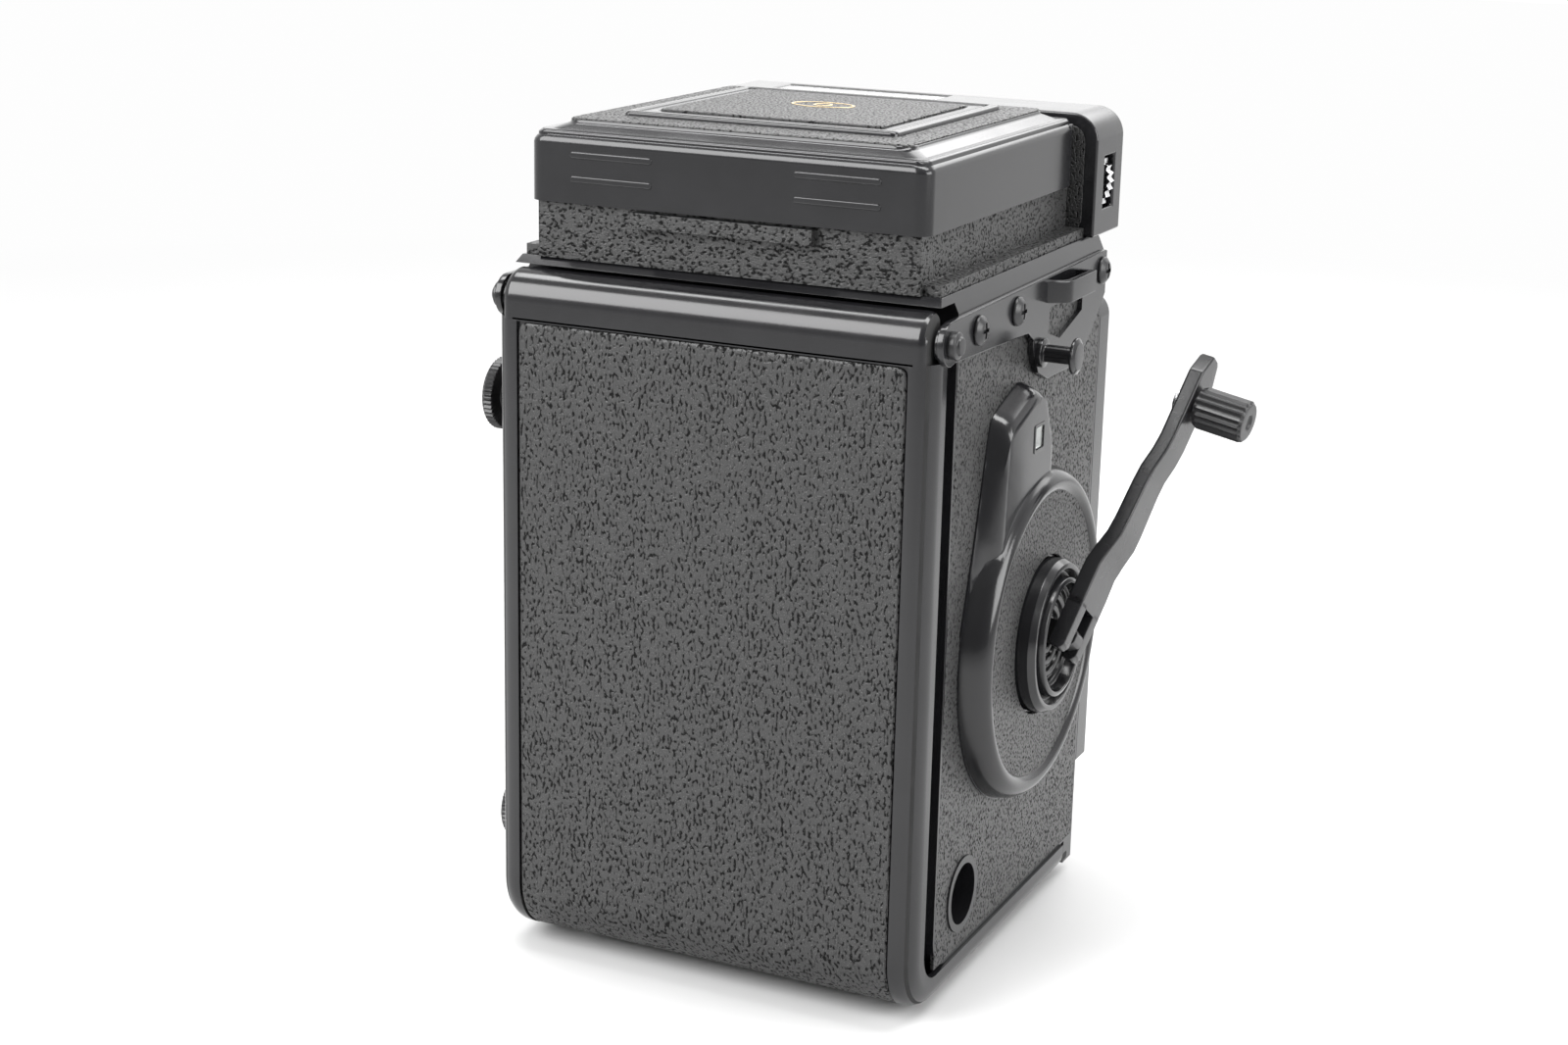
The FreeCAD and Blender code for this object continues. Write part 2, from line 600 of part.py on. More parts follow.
def gear_places():
    """(name, axis, pitch radius) of the wind train, from crank to take-up spool."""
    run_y = d.takeup_y.value + d.crank_y.value
    run_z = d.takeup_z.value - d.crank_z.value
    share = (d.hub_gear.value + d.idle_gear.value) / math.hypot(run_y, run_z)
    idle = (-d.crank_y + (d.takeup_y + d.crank_y) * share,
            d.crank_z + (d.takeup_z - d.crank_z) * share)
    return (("hub_gear", (-d.crank_y, d.crank_z), d.hub_gear),
            ("idle_gear", idle, d.idle_gear),
            ("spool_gear", (d.takeup_y, d.takeup_z), d.spool_gear))


def side_leathers():
    """The leather on the two side plates, and the ring of leather on the crank cover."""
    y = (-d.body_front + 0.7, d.body_rear - 0.7)
    z = (d.body_floor + 0.5, d.deck - 3.9)
    left = box("leather_left_sheet", (d.body_half - d.skin, d.body_half), y, z)
    holes = [rod("left_focus_hole", "x", (-d.focus_y, d.focus_z), 3.2, (36, 40)),
             rod("left_battery_hole", "x", (-d.battery_y, d.battery_z), d.battery_r + 1.4,
                 (36, 40)),
             rod("left_sync_hole", "x", (-d.sync_y, d.sync_z), d.sync_r + 0.2, (36, 40)),
             rod("left_supply_hole", "x", (d.supply_y, d.supply_z), 3.0, (36, 40)),
             rod("left_takeup_hole", "x", (d.takeup_y, d.takeup_z), 3.0, (36, 40))]
    keep(cut("leather_left_cut", left, *holes), "side_leather_left")
    right = box("leather_right_sheet", (-d.body_half, -d.body_half + d.skin), y, z)
    dial = counter_centre()
    holes = [rod("right_crank_hole", "x", (-d.crank_y, d.crank_z), 4.0, (-40, -36)),
             rod("right_peep_hole", "x", (d.supply_y, d.supply_z), 6.6, (-40, -36)),
             rod("right_counter_hole", "x", dial, 1.6, (-40, -36))]
    sheet_cut = cut("leather_right_cut", right, *holes)
    ring = tube("crank_leather", "x", (-d.crank_y, d.crank_z), d.ring_in, d.cup_r + 0.4,
                (-d.body_half - d.cover_lift - d.skin, -d.body_half - d.cover_lift))
    keep(group("leather_right_group", sheet_cut, ring), "side_leather_right")


def gear_plate():
    """The plate that closes the gear room, under the right-hand leather."""
    outer = -d.body_half + d.skin
    inner = -d.gear_out - 0.3
    discs = [rod(f"{name}_lid", "x", centre, radius + 0.3, (outer, inner))
             for name, centre, radius in gear_places()]
    lid = fuse("gear_lid", *discs)
    holes = [rod("lid_crank_hole", "x", (-d.crank_y, d.crank_z), 3.05, (-40, -36)),
             rod("lid_counter_hole", "x", counter_centre(), 1.25, (-40, -36))]
    keep(cut("gear_lid_cut", lid, *holes), "gear_plate")


def counter_centre():
    """Axis of the frame counter's dial."""
    return (d.counter_y, d.counter_z)


def crank_cover():
    """The raised cover over the wind train: a disc, its ring and a tab for the counter."""
    centre = (-d.crank_y, d.crank_z)
    top = -d.body_half - d.cover_lift
    tab_points = [(-13, 74), (-9.6, 84.4), (-4, 99.2), (1.5, 101), (13, 97.5),
                  (19.5, 80), (23.6, 63), (0, 50)]
    tab = Solid("cover_tab")
    tab.pad("YZ_Plane", tab_points, (top, -d.body_half))
    disc = rod("cover_disc", "x", centre, d.disc_r, (top, -d.body_half))
    ring = Solid("cover_ring", at=(0, *centre))
    ring.turn("x", [(top + 0.5, d.ring_in), (top - 0.5, d.ring_in),
                    (-d.body_half - d.ring_lift, d.ring_in + 0.6),
                    (-d.body_half - d.ring_lift, d.ring_r - 0.8),
                    (top - 0.6, d.ring_r), (top + 0.5, d.ring_r)])
    whole = fuse("cover_whole", tab.body, disc, ring.body)
    hollow_tab = Solid("cover_tab_room")
    hollow_tab.pad("YZ_Plane", [(-11, 75), (-8.2, 84.4), (-3, 97.6), (1.5, 99.4), (12, 96.4),
                                (18.1, 79.8), (22, 63), (0, 50)],
                   (top + 1.1, -d.body_half + 1))
    hollow_disc = rod("cover_disc_room", "x", centre, d.disc_r - 1.4,
                      (top + 1.1, -d.body_half + 1))
    shaft = rod("cover_shaft_hole", "x", centre, 3.3, (-46, -38))
    window_y, window_z = (-d.pane_front, d.pane_rear), (d.pane_low, d.pane_high)
    window = box("cover_window_hole", (-46, -38), window_y, window_z)
    keep(cut("cover_final", whole, hollow_tab.body, hollow_disc, shaft, window), "crank_cover")
    keep(box("window_pane", (top + 0.1, top + 0.7), window_y, window_z), "counter_window")


def counter_dial():
    """The frame counter's dial, under the window, on a stub that turns in the gear plate."""
    centre = counter_centre()
    disc = rod("counter_disc", "x", centre, d.counter_r,
               (-d.body_half - 1.9, -d.body_half - 0.9))
    stub = rod("counter_stub", "x", centre, 1.2, (-d.body_half - 1, -d.gear_out - 0.5))
    keep(fuse("counter_whole", disc, stub), "counter_dial")


# ---------------------------------------------------------------- the film path

def spool(name, y, z):
    """A roll film spool: a core between two flanges, with a keyed hole in each end."""
    core = rod(f"{name}_core", "x", (y, z), d.spool_core, (-d.spool_half, d.spool_half))
    ends = [rod(f"{name}_flange{n}", "x", (y, z), d.spool_flange, span)
            for n, span in enumerate(((d.spool_half - d.flange_wide, d.spool_half),
                                      (-d.spool_half, -d.spool_half + d.flange_wide)))]
    whole = fuse(f"{name}_whole", core, *ends)
    bore = rod(f"{name}_bore", "x", (y, z), d.spool_bore, (-d.spool_half - 1, d.spool_half + 1))
    slot = box(f"{name}_slot", (-d.spool_half + 4, d.spool_half - 4), (y - 0.6, y + 0.6),
               (z - 8, z + 8))
    keep(cut(f"{name}_final", whole, bore, slot), name)


def spools():
    """Both spools, the rollers beside the picture gate and the take-up shaft."""
    spool("takeup_spool", d.takeup_y, d.takeup_z)
    spool("supply_spool", d.supply_y, d.supply_z)
    for name, height in (("lower", d.gate_low - d.roller), ("upper", d.gate_high + d.roller_rise)):
        centre = (d.roller_y, height)
        barrel = rod(f"{name}_barrel", "x", centre, d.roller, (-d.roller_half, d.roller_half))
        axle = rod(f"{name}_axle", "x", centre, d.axle, (-d.roller_half - 1.6,
                                                        d.roller_half + 1.6))
        keep(fuse(f"{name}_roller_whole", barrel, axle), f"film_roller_{name}")


def toothed_wheel(name, centre, pitch, count):
    """A gear whose teeth are square notches; its tips stay just inside the pitch circle."""
    wheel = rod(f"{name}_blank", "x", centre, pitch - d.tooth,
                (-d.gear_out, -d.gear_out + d.gear_wide))
    notches = []
    for number in range(count):
        angle = 2 * math.pi * number / count
        notch = doc.addObject("Part::Box", f"{name}_notch{number}")
        notch.Length = d.gear_wide.value + 1
        notch.Width = 1.1
        notch.Height = 1.3
        turn = FreeCAD.Rotation(X_AXIS, math.degrees(angle))
        reach = turn.multVec(FreeCAD.Vector(0, -0.55, pitch.value - 0.75))
        notch.Placement = FreeCAD.Placement(
            FreeCAD.Vector(-d.gear_out.value - 0.5, as_size(centre[0]).value,
                           as_size(centre[1]).value) + reach, turn)
        notches.append(notch)
    return cut(f"{name}_teeth", wheel, *notches)


def wind_train():
    """The wind gear between crank and spool, and the shaft that drives the spool."""
    hub, idle, last = gear_places()
    wheel = toothed_wheel("wind", idle[1], idle[2], 30)
    axle = rod("wind_axle", "x", idle[1], d.axle, (-d.gear_out + 1, -33))
    keep(fuse("wind_whole", wheel, axle), "wind_gear")
    wheel = toothed_wheel("takeup", last[1], last[2], 11)
    shaft = rod("takeup_shaft", "x", last[1], d.spool_bore - 0.1, (-d.gear_out + 1, -30))
    keep(fuse("takeup_drive_whole", wheel, shaft), "takeup_drive")


# ---------------------------------------------------------------- the crank

def crank_hub():
    """The hub: gear, shaft, cup with a raised ring, and the lug that carries the arm."""
    centre = (-d.crank_y, d.crank_z)
    base = d.body_half + d.cover_lift + 0.5
    cup = Solid("hub_cup", at=(0, *centre))
    cup.turn("x", [(-base, 0), (-base, d.cup_r), (-base - 2.2, d.cup_r), (-base - 2.6, 12.9),
                   (-base - 2.6, 12.2), (-base - 1.6, 11.7), (-base - 1.6, 10.9),
                   (-base - 3.8, 10.5), (-base - 4.2, 10.0), (-base - 4.2, 9.0),
                   (-base - 0.8, 8.2), (-base - 0.6, 0)])
    shaft = rod("hub_shaft", "x", centre, 3.0, (-base - 0.5, -33))
    wheel = toothed_wheel("hub", centre, d.hub_gear, 15)
    lug = box("hub_lug", (-d.fold_x, -base - 0.3), (-d.crank_y - 2.0, -d.crank_y + 2.0),
              (d.crank_z - 1.9, d.crank_z + 1.9))
    turned_lug = turned_about_crank("hub_lug_turned", lug)
    eye = crank_local(rod("hub_eye", "y", (0, 0), 1.9, (-2, 2)))
    whole = fuse("hub_whole", cup.body, shaft, wheel, turned_lug, eye)
    hole = crank_local(rod("hub_pin_hole", "y", (0, 0), 0.8, (-9, 9)))
    pin = crank_local(rod("hub_pin", "y", (0, 0), 0.8, (-d.arm_root + 0.2, d.arm_root - 0.2)))
    keep(group("hub_with_pin", cut("hub_final", whole, hole), pin), "crank_hub")


def crank_frame():
    """Placement of the arm's own frame: Z along the arm, Y along the fold pin."""
    turn = FreeCAD.Rotation(X_AXIS, d.arm_turn.value)
    lean = FreeCAD.Rotation(Y_AXIS, -d.arm_lean.value)
    spot = FreeCAD.Vector(-d.fold_x.value, -d.crank_y.value, d.crank_z.value)
    return FreeCAD.Placement(spot, turn * lean)


def crank_local(source):
    """Move an object drawn in the arm's frame to its place on the camera."""
    holder = doc.addObject("Part::Compound", source.Name + "_placed")
    holder.Links = [source]
    holder.Placement = crank_frame()
    return holder


def turned_about_crank(name, source):
    """Turn a shape about the crank's axis by the arm's own turn."""
    holder = doc.addObject("Part::Compound", name)
    holder.Links = [source]
    centre = FreeCAD.Vector(0, -d.crank_y.value, d.crank_z.value)
    turn = FreeCAD.Rotation(X_AXIS, d.arm_turn.value)
    holder.Placement = FreeCAD.Placement(FreeCAD.Vector(), turn, centre)
    return holder


def crank_arm():
    """The folding arm, its fork, the pin through the fork and the knob at its end."""
    half = d.arm_thick * 0.5
    low = -half
    end = d.arm_long + d.arm_over
    arm = Solid("arm")
    arm.pad("XZ_Plane", [
        (half, -3.2), (half, 13), (half - d.arm_step * 0.5, 20), (half - d.arm_step * 0.5, 30),
        (half - d.arm_step, 38), (half - d.arm_step, end),
        (low - d.arm_step, end), (low - d.arm_step, 38),
        (low - d.arm_step * 0.5, 30), (low - d.arm_step * 0.5, 20), (low, 13), (low, -3.2)],
        (-d.arm_root, d.arm_root))
    for side in (1, -1):
        corners = [(d.arm_root, 8), (d.arm_root + 1, 8), (d.arm_root + 1, end + 1),
                   (d.arm_tip - 2.4, end + 1), (d.arm_tip - 2.4, end), (d.arm_tip, end - 4),
                   (d.arm_tip, 26)]
        if side < 0:
            corners = [(-u, v) for u, v in reversed(corners)]
        arm.pocket("YZ_Plane", corners, (-8, 4))
    arm.pocket("YZ_Plane", rectangle(-2.3, 2.3, -5, 5.5), (-8, 4))
    blade = crank_local(arm.body)
    pin_hole = crank_local(rod("arm_pin_hole", "y", (0, 0), 0.85, (-9, 9)))
    knob_hole = crank_local(rod("arm_knob_hole", "x", (0, d.arm_long), 1.55, (-9, 9)))
    keep(cut("arm_final", blade, pin_hole, knob_hole), "crank_arm")
    face = low.value - d.arm_step.value
    knob = fuse("knob_whole",
                crank_local(rod("knob_grip", "x", (0, d.arm_long), 3.8, (face - 9.8, face - 0.3))),
                crank_local(rod("knob_axle", "x", (0, d.arm_long), 1.5, (face - 1, face + 3.4))),
                crank_local(rod("knob_head", "x", (0, d.arm_long), 2.4, (face + 3.1, face + 3.8))))
    keep(knob, "crank_knob")


# ---------------------------------------------------------------- the back door

def back_door():
    """The door: one shell that is the camera's back and floor, hinged under the deck."""
    inside = d.door_back - d.door_rim
    solid = Solid("door")
    top = d.hinge_z + d.door_back - d.hinge_y
    solid.pad("YZ_Plane", [
        (-d.door_front, 0), (d.door_back, 0), (d.door_back, top), (inside, top),
        (inside, 5), (-d.door_front, 5)], (-d.door_half, d.door_half))
    solid.fillet(d.door_corner, edge_at("x", y=d.door_back, z=0))
    solid.fillet(d.door_corner - d.door_rim, edge_at("x", y=inside, z=5))
    solid.fillet(d.door_back - d.hinge_y - 0.01, edge_at("x", y=d.door_back, z=top))
    skin = d.door_back - d.door_wall
    room = Solid("door_room")
    room.pad("YZ_Plane", [
        (-d.door_front + 1, d.door_wall), (skin, d.door_wall), (skin, d.rim_top - 1.2),
        (-d.door_front + 1, d.rim_top - 1.2)],
        (-d.door_half + d.door_wall, d.door_half - d.door_wall))
    room.fillet(d.door_corner - d.door_wall, edge_at("x", y=skin, z=d.door_wall))
    head = Solid("door_head")
    head.pad("YZ_Plane", rectangle(20, skin, d.rim_top - 2, top - d.door_wall),
             (-d.roll_half + d.door_wall, d.roll_half - d.door_wall))
    head.fillet(3.8, edge_at("x", y=skin, z=top - d.door_wall))
    leather = Solid("door_leather_sheet")
    face = d.door_back - d.panel_skin
    leather.pad("YZ_Plane", [
        (-d.door_front + 4, 0), (d.door_back, 0), (d.door_back, d.panel_top),
        (face, d.panel_top), (face, d.panel_skin), (-d.door_front + 4, d.panel_skin)],
        (-d.panel_half, d.panel_half))
    leather.fillet(d.door_corner, edge_at("x", y=d.door_back, z=0))
    leather.fillet(d.door_corner - d.panel_skin, edge_at("x", y=face, z=d.panel_skin))
    ends = [box(f"rim_end{n}", span, (20, 41), (d.rim_top, top + 1))
            for n, span in enumerate(((d.roll_half, 41), (-41, -d.roll_half)))]
    pin_hole = rod("door_pin_hole", "x", (d.hinge_y, d.hinge_z), d.axle + d.fit, (-41, 41))
    socket_hole = rod("door_socket_hole", "z", (0, 0), d.socket_rim, (-1, 3))
    bolt_slot = box("door_bolt_slot", (-d.bolt_half - 0.3, d.bolt_half + 0.3), (-36, -32),
                    (1.3, 3.6))
    keep(cut("door_final", solid.body, room.body, head.body, leather.body, *ends, pin_hole,
             socket_hole, bolt_slot), "back_door")
    keep(cut("door_leather_final", leather.body,
             rod("leather_socket_hole", "z", (0, 0), d.socket_rim, (-1, 3))), "door_leather")


def door_fittings():
    """Pressure plate and its springs, tripod socket, latch dial, latch bolt and feet."""
    keep(box("pad_plate", (-d.pad_half, d.pad_half), (d.pad_y, d.pad_y + d.door_wall),
             (d.pad_low, d.pad_high)), "pressure_plate")
    inner = d.door_back - d.door_wall
    springs = [tube(f"pad_spring{n}", "y", (0, height), d.spring_r, d.spring_r - 0.6,
                    (d.pad_y + d.door_wall + 0.15, inner))
               for n, height in enumerate((d.spring_low, d.spring_high))]
    keep(group("pad_springs", *springs), "pressure_plate_springs")
    socket = cut("socket_whole", rod("socket_outer", "z", (0, 0), d.socket_rim, (0, 4.2)),
                 rod("socket_bore", "z", (0, 0), d.socket_r, (-1, d.socket_deep)))
    keep(socket, "tripod_socket")
    keep(tube("latch_ring", "z", (0, 0), d.dial_r, d.socket_rim + 0.3, (-d.dial_low, -0.2)),
         "latch_dial")
    keep(box("bolt_bar", (-d.bolt_half, d.bolt_half), (-36.9, -14), (1.6, 3.3)), "latch_bolt")
    domes = []
    for n, (x, y) in enumerate(((d.foot_x, d.foot_y), (-d.foot_x, d.foot_y),
                                (d.foot_x, -d.foot_y), (-d.foot_x, -d.foot_y))):
        domes.append(rod(f"foot{n}", "z", (x, y), d.foot_r, (-d.foot_low, 0)))
    keep(group("foot_group", *domes), "feet")


# ---------------------------------------------------------------- the hood

def hood_base():
    """The leather-covered box that carries the hood, with a raised bar at its rear."""
    outer = box("base_outer", (-d.hood_half, d.hood_half), (-d.hood_front, d.hood_rear),
                (d.deck, d.hood_top))
    inner = box("base_inner", (-d.hood_half + d.hood_wall, d.hood_half - d.hood_wall),
                (-d.hood_front + d.hood_wall, d.hood_rear - d.hood_wall),
                (d.deck - 1, d.hood_top + 1))
    walls = cut("base_walls", outer, inner)
    bar = box("base_bar", (-d.bar_half, d.bar_half), (d.hood_rear - 0.5, d.hood_rear + 1.6),
              (d.bar_low, d.bar_high))
    ears = []
    for mark, x in (("left", (d.hood_half - d.hood_wall + 0.1, d.hood_half - 0.1)),
                    ("right", (-d.hood_half + 0.1, -d.hood_half + d.hood_wall - 0.1))):
        ears.append(box(f"base_ear_{mark}", x, (-d.pivot_y - 1, -d.pivot_y + 1),
                        (d.hood_top - 1, d.pivot_z)))
        ears.append(rod(f"base_eye_{mark}", "x", (-d.pivot_y, d.pivot_z), 1.0, x))
    strips = [box(f"strip{n}", x, (-d.meter_rear + 0.2, 33), (d.deck, d.deck + d.strip_rise))
              for n, x in enumerate(((d.hood_half - 0.5, d.strip_out),
                                     (-d.strip_out, -d.hood_half + 0.5)))]
    whole = fuse("base_whole", walls, bar, *ears, *strips)
    keep(cut("base_final", whole, rod("base_pin_bore", "x", (-d.pivot_y, d.pivot_z), 0.6,
                                      (-40, 40))), "hood_base")
    keep(box("screen_glass", (-d.screen_half, d.screen_half), (-27.3, 28.8),
             (d.deck - 1.5, d.deck - 0.3)), "focusing_screen")


def hood_cover():
    """The hood's cover: top plate, three skirts and a raised frame around the flap."""
    solid = Solid("cover_shell")
    half = d.cover_half
    solid.pad("XY_Plane", rectangle(-half, half, -d.cover_front, d.cover_rear),
              (d.cover_low, d.cover_top))
    solid.fillet(d.cover_corner, edge_at("z", x=half, y=d.cover_rear))
    solid.fillet(1.2, edge_at("x", y=d.cover_rear, z=d.cover_top))
    inner = half - d.cover_wall
    room = Solid("cover_room")
    room.pad("XY_Plane", rectangle(-inner, inner, -d.cover_front - 1,
                                   d.cover_rear - d.cover_wall),
             (d.cover_low - 1, d.cover_top - 1.2))
    room.fillet(d.room_corner, edge_at("z", x=inner, y=d.cover_rear - d.cover_wall))
    frame_x, frame_y = (-d.frame_half, d.frame_half), (-d.frame_long, d.frame_long)
    frame = box("cover_frame", frame_x, frame_y, (d.cover_top - 0.5, d.cover_top + 1.4))
    whole = fuse("cover_frame_whole", solid.body, frame)
    opening = box("cover_opening", (-d.flap_half - 0.2, d.flap_half + 0.2),
                  (-d.flap_front - d.gap, d.flap_rear + d.gap),
                  (d.cover_top - 2, d.cover_top + 2))
    pivot = rod("cover_pivot_hole", "x", (-d.pivot_y, d.pivot_z), 0.65, (-40, 40))
    keep(cut("cover_shell_final", whole, room.body, opening, pivot), "hood_cover")
    ring = cut("cover_leather_cut",
               box("cover_leather_sheet", (-d.ring_half, d.ring_half),
                   (-d.ring_front, d.ring_rear), (d.cover_top, d.cover_top + 0.6)),
               box("cover_leather_hole", frame_x, frame_y,
                   (d.cover_top - 1, d.cover_top + 2)))
    keep(ring, "hood_cover_leather")
    under = d.flap_top - d.flap_thick
    plate = box("flap_plate", (-d.flap_half, d.flap_half), (-d.flap_front, d.flap_rear),
                (under, d.flap_top))
    knuckle = rod("flap_knuckle", "x", (-d.flap_pivot, under), d.knuckle_r, (-20, 20))
    keep(fuse("flap_whole", plate, knuckle), "finder_flap")


def hood_leaves():
    """Rear leaf, the two side wings under the cover, and the focusing magnifier."""
    leaf = box("leaf_sheet", (-28, 28), (d.leaf_y - d.leaf_long, d.leaf_y),
               (d.leaf_z - d.sheet * 0.5, d.leaf_z + d.sheet * 0.5))
    barrel = rod("leaf_barrel", "x", (d.leaf_y, d.leaf_z), 0.9, (-20, 20))
    keep(fuse("leaf_whole", leaf, barrel), "hood_leaf_rear")
    wing = Solid("wing_left")
    wing.pad("XY_Plane", [(d.wing_x, -d.wing_front), (d.wing_x, d.wing_rear),
                          (19, d.wing_rear), (7, -d.wing_front)],
             (d.wing_z - 0.35, d.wing_z + 0.35))
    whole = fuse("wing_whole", wing.body,
                 rod("wing_knuckle", "y", (d.wing_x, d.wing_z), d.knuckle_r,
                     (-d.wing_front, d.wing_rear)))
    keep(whole, "hood_wing_left")
    keep(mirrored("wing_right_mirror", whole), "hood_wing_right")
    width = (-d.loupe_half, d.loupe_half)
    middle = (0, d.loupe_y)
    plate = box("magnifier_plate", width, (d.loupe_y - 12, d.loupe_pivot),
                (d.loupe_z - 0.6, d.loupe_z + 0.7))
    knuckle = rod("magnifier_knuckle", "x", (d.loupe_pivot, d.loupe_z), d.knuckle_r, width)
    keep(cut("magnifier_cut", fuse("magnifier_whole", plate, knuckle),
             rod("magnifier_hole", "z", middle, d.loupe_r, (d.loupe_z - 1, d.loupe_z + 2))),
         "magnifier_frame")
    keep(rod("magnifier_glass", "z", middle, d.loupe_r, (d.loupe_z - 0.8, d.loupe_z + 0.8)),
         "magnifier_lens")


def mirror():
    """The reflex mirror at 45 degrees behind the viewing lens."""
    glass = doc.addObject("Part::Box", "mirror_plate")
    bind(glass, "Length", d.mirror_half * 2)
    bind(glass, "Width", d.mirror_long)
    bind(glass, "Height", d.mirror_thick)
    rise = FreeCAD.Rotation(X_AXIS, 45)
    corner = FreeCAD.Vector(-d.mirror_half.value, -d.mirror_low.value, -d.mirror_thick.value)
    middle = FreeCAD.Vector(0, d.mirror_y.value, (d.lens_low + d.lens_pitch).value)
    glass.Placement = FreeCAD.Placement(middle + rise.multVec(corner), rise)
    keep(glass, "reflex_mirror")


# ---------------------------------------------------------------- the meter

def meter():
    """Meter housing, its window, the needle, the film speed dial and the battery."""
    solid = Solid("housing")
    solid.pad("XZ_Plane", rectangle(-d.body_half, d.body_half, d.deck, d.meter_top),
              (-d.meter_front, -d.meter_rear))
    solid.fillet(d.meter_round, edge_at("y", x=d.body_half, z=d.meter_top))
    solid.fillet(0.8, edge_at("x", y=d.meter_front, z=d.meter_top))
    inner = d.body_half - 2
    solid.pocket("XZ_Plane", rectangle(-inner, inner, d.deck + d.meter_wall,
                                       d.meter_top - d.meter_wall),
                 (-d.meter_front + d.meter_wall, -d.meter_rear - d.meter_wall))
    solid.pocket("XZ_Plane", rectangle(-34, 34, d.deck - 1, d.deck + 2),
                 (-d.body_front + 0.2, -d.meter_rear - d.meter_wall))
    # Room for the film speed dial, whose rim shows in a slot in the side wall.
    dial_y = (-43.4, -38)
    slot = box("dial_slot", (-40, -36), dial_y, (d.speed_z - 4.6, d.speed_z + 4.6))
    dial_room = box("dial_room", (-d.body_half + 0.8, -24), dial_y,
                    (d.speed_z - 7.3, d.speed_z + 7.3))
    pane_x, pane_y = (-d.scale_right, d.scale_left), (-45.2, -37.8)
    window = box("meter_opening", pane_x, pane_y, (d.meter_top - 2.3, d.meter_top + 1))
    keep(cut("housing_final", solid.body, slot, dial_room, window), "meter_housing")
    keep(box("meter_pane", pane_x, pane_y, (d.meter_top - 1.5, d.meter_top - 0.2)),
         "meter_window")
    needle_z = d.meter_top - 4.3
    pointer = box("needle_bar", (d.needle_x - 0.4, d.needle_x + 0.4), (-44.6, -36.8),
                  (needle_z, needle_z + 0.5))
    post = rod("needle_post", "z", (d.needle_x, -37.6), 0.8, (needle_z - 2.5, needle_z + 0.6))
    keep(fuse("needle_whole", pointer, post), "meter_needle")
    keep(rod("film_speed_wheel", "y", (-d.speed_x, d.speed_z), d.speed_r, (-41.9, -39.7)),
         "film_speed_dial")
    battery = (-d.battery_y, d.battery_z)
    keep(rod("battery_cell", "x", battery, d.battery_r, (31.2, 37.4)), "battery")
    lid = cut("lid_whole", rod("lid_disc", "x", battery, d.battery_r + 1.2, (37.9, 39.7)),
              box("lid_slot", (39, 41), (-d.battery_y - 7, -d.battery_y + 7),
                  (d.battery_z - 0.9, d.battery_z + 0.9)))
    keep(lid, "battery_cover")


# ---------------------------------------------------------------- the lens board

def lens_turn(name, height, points):
    """A turned barrel around a lens axis, from (along, radius) points."""
    solid = Solid(name, at=(0, 0, height))
    solid.turn("y", points)
    return solid.body


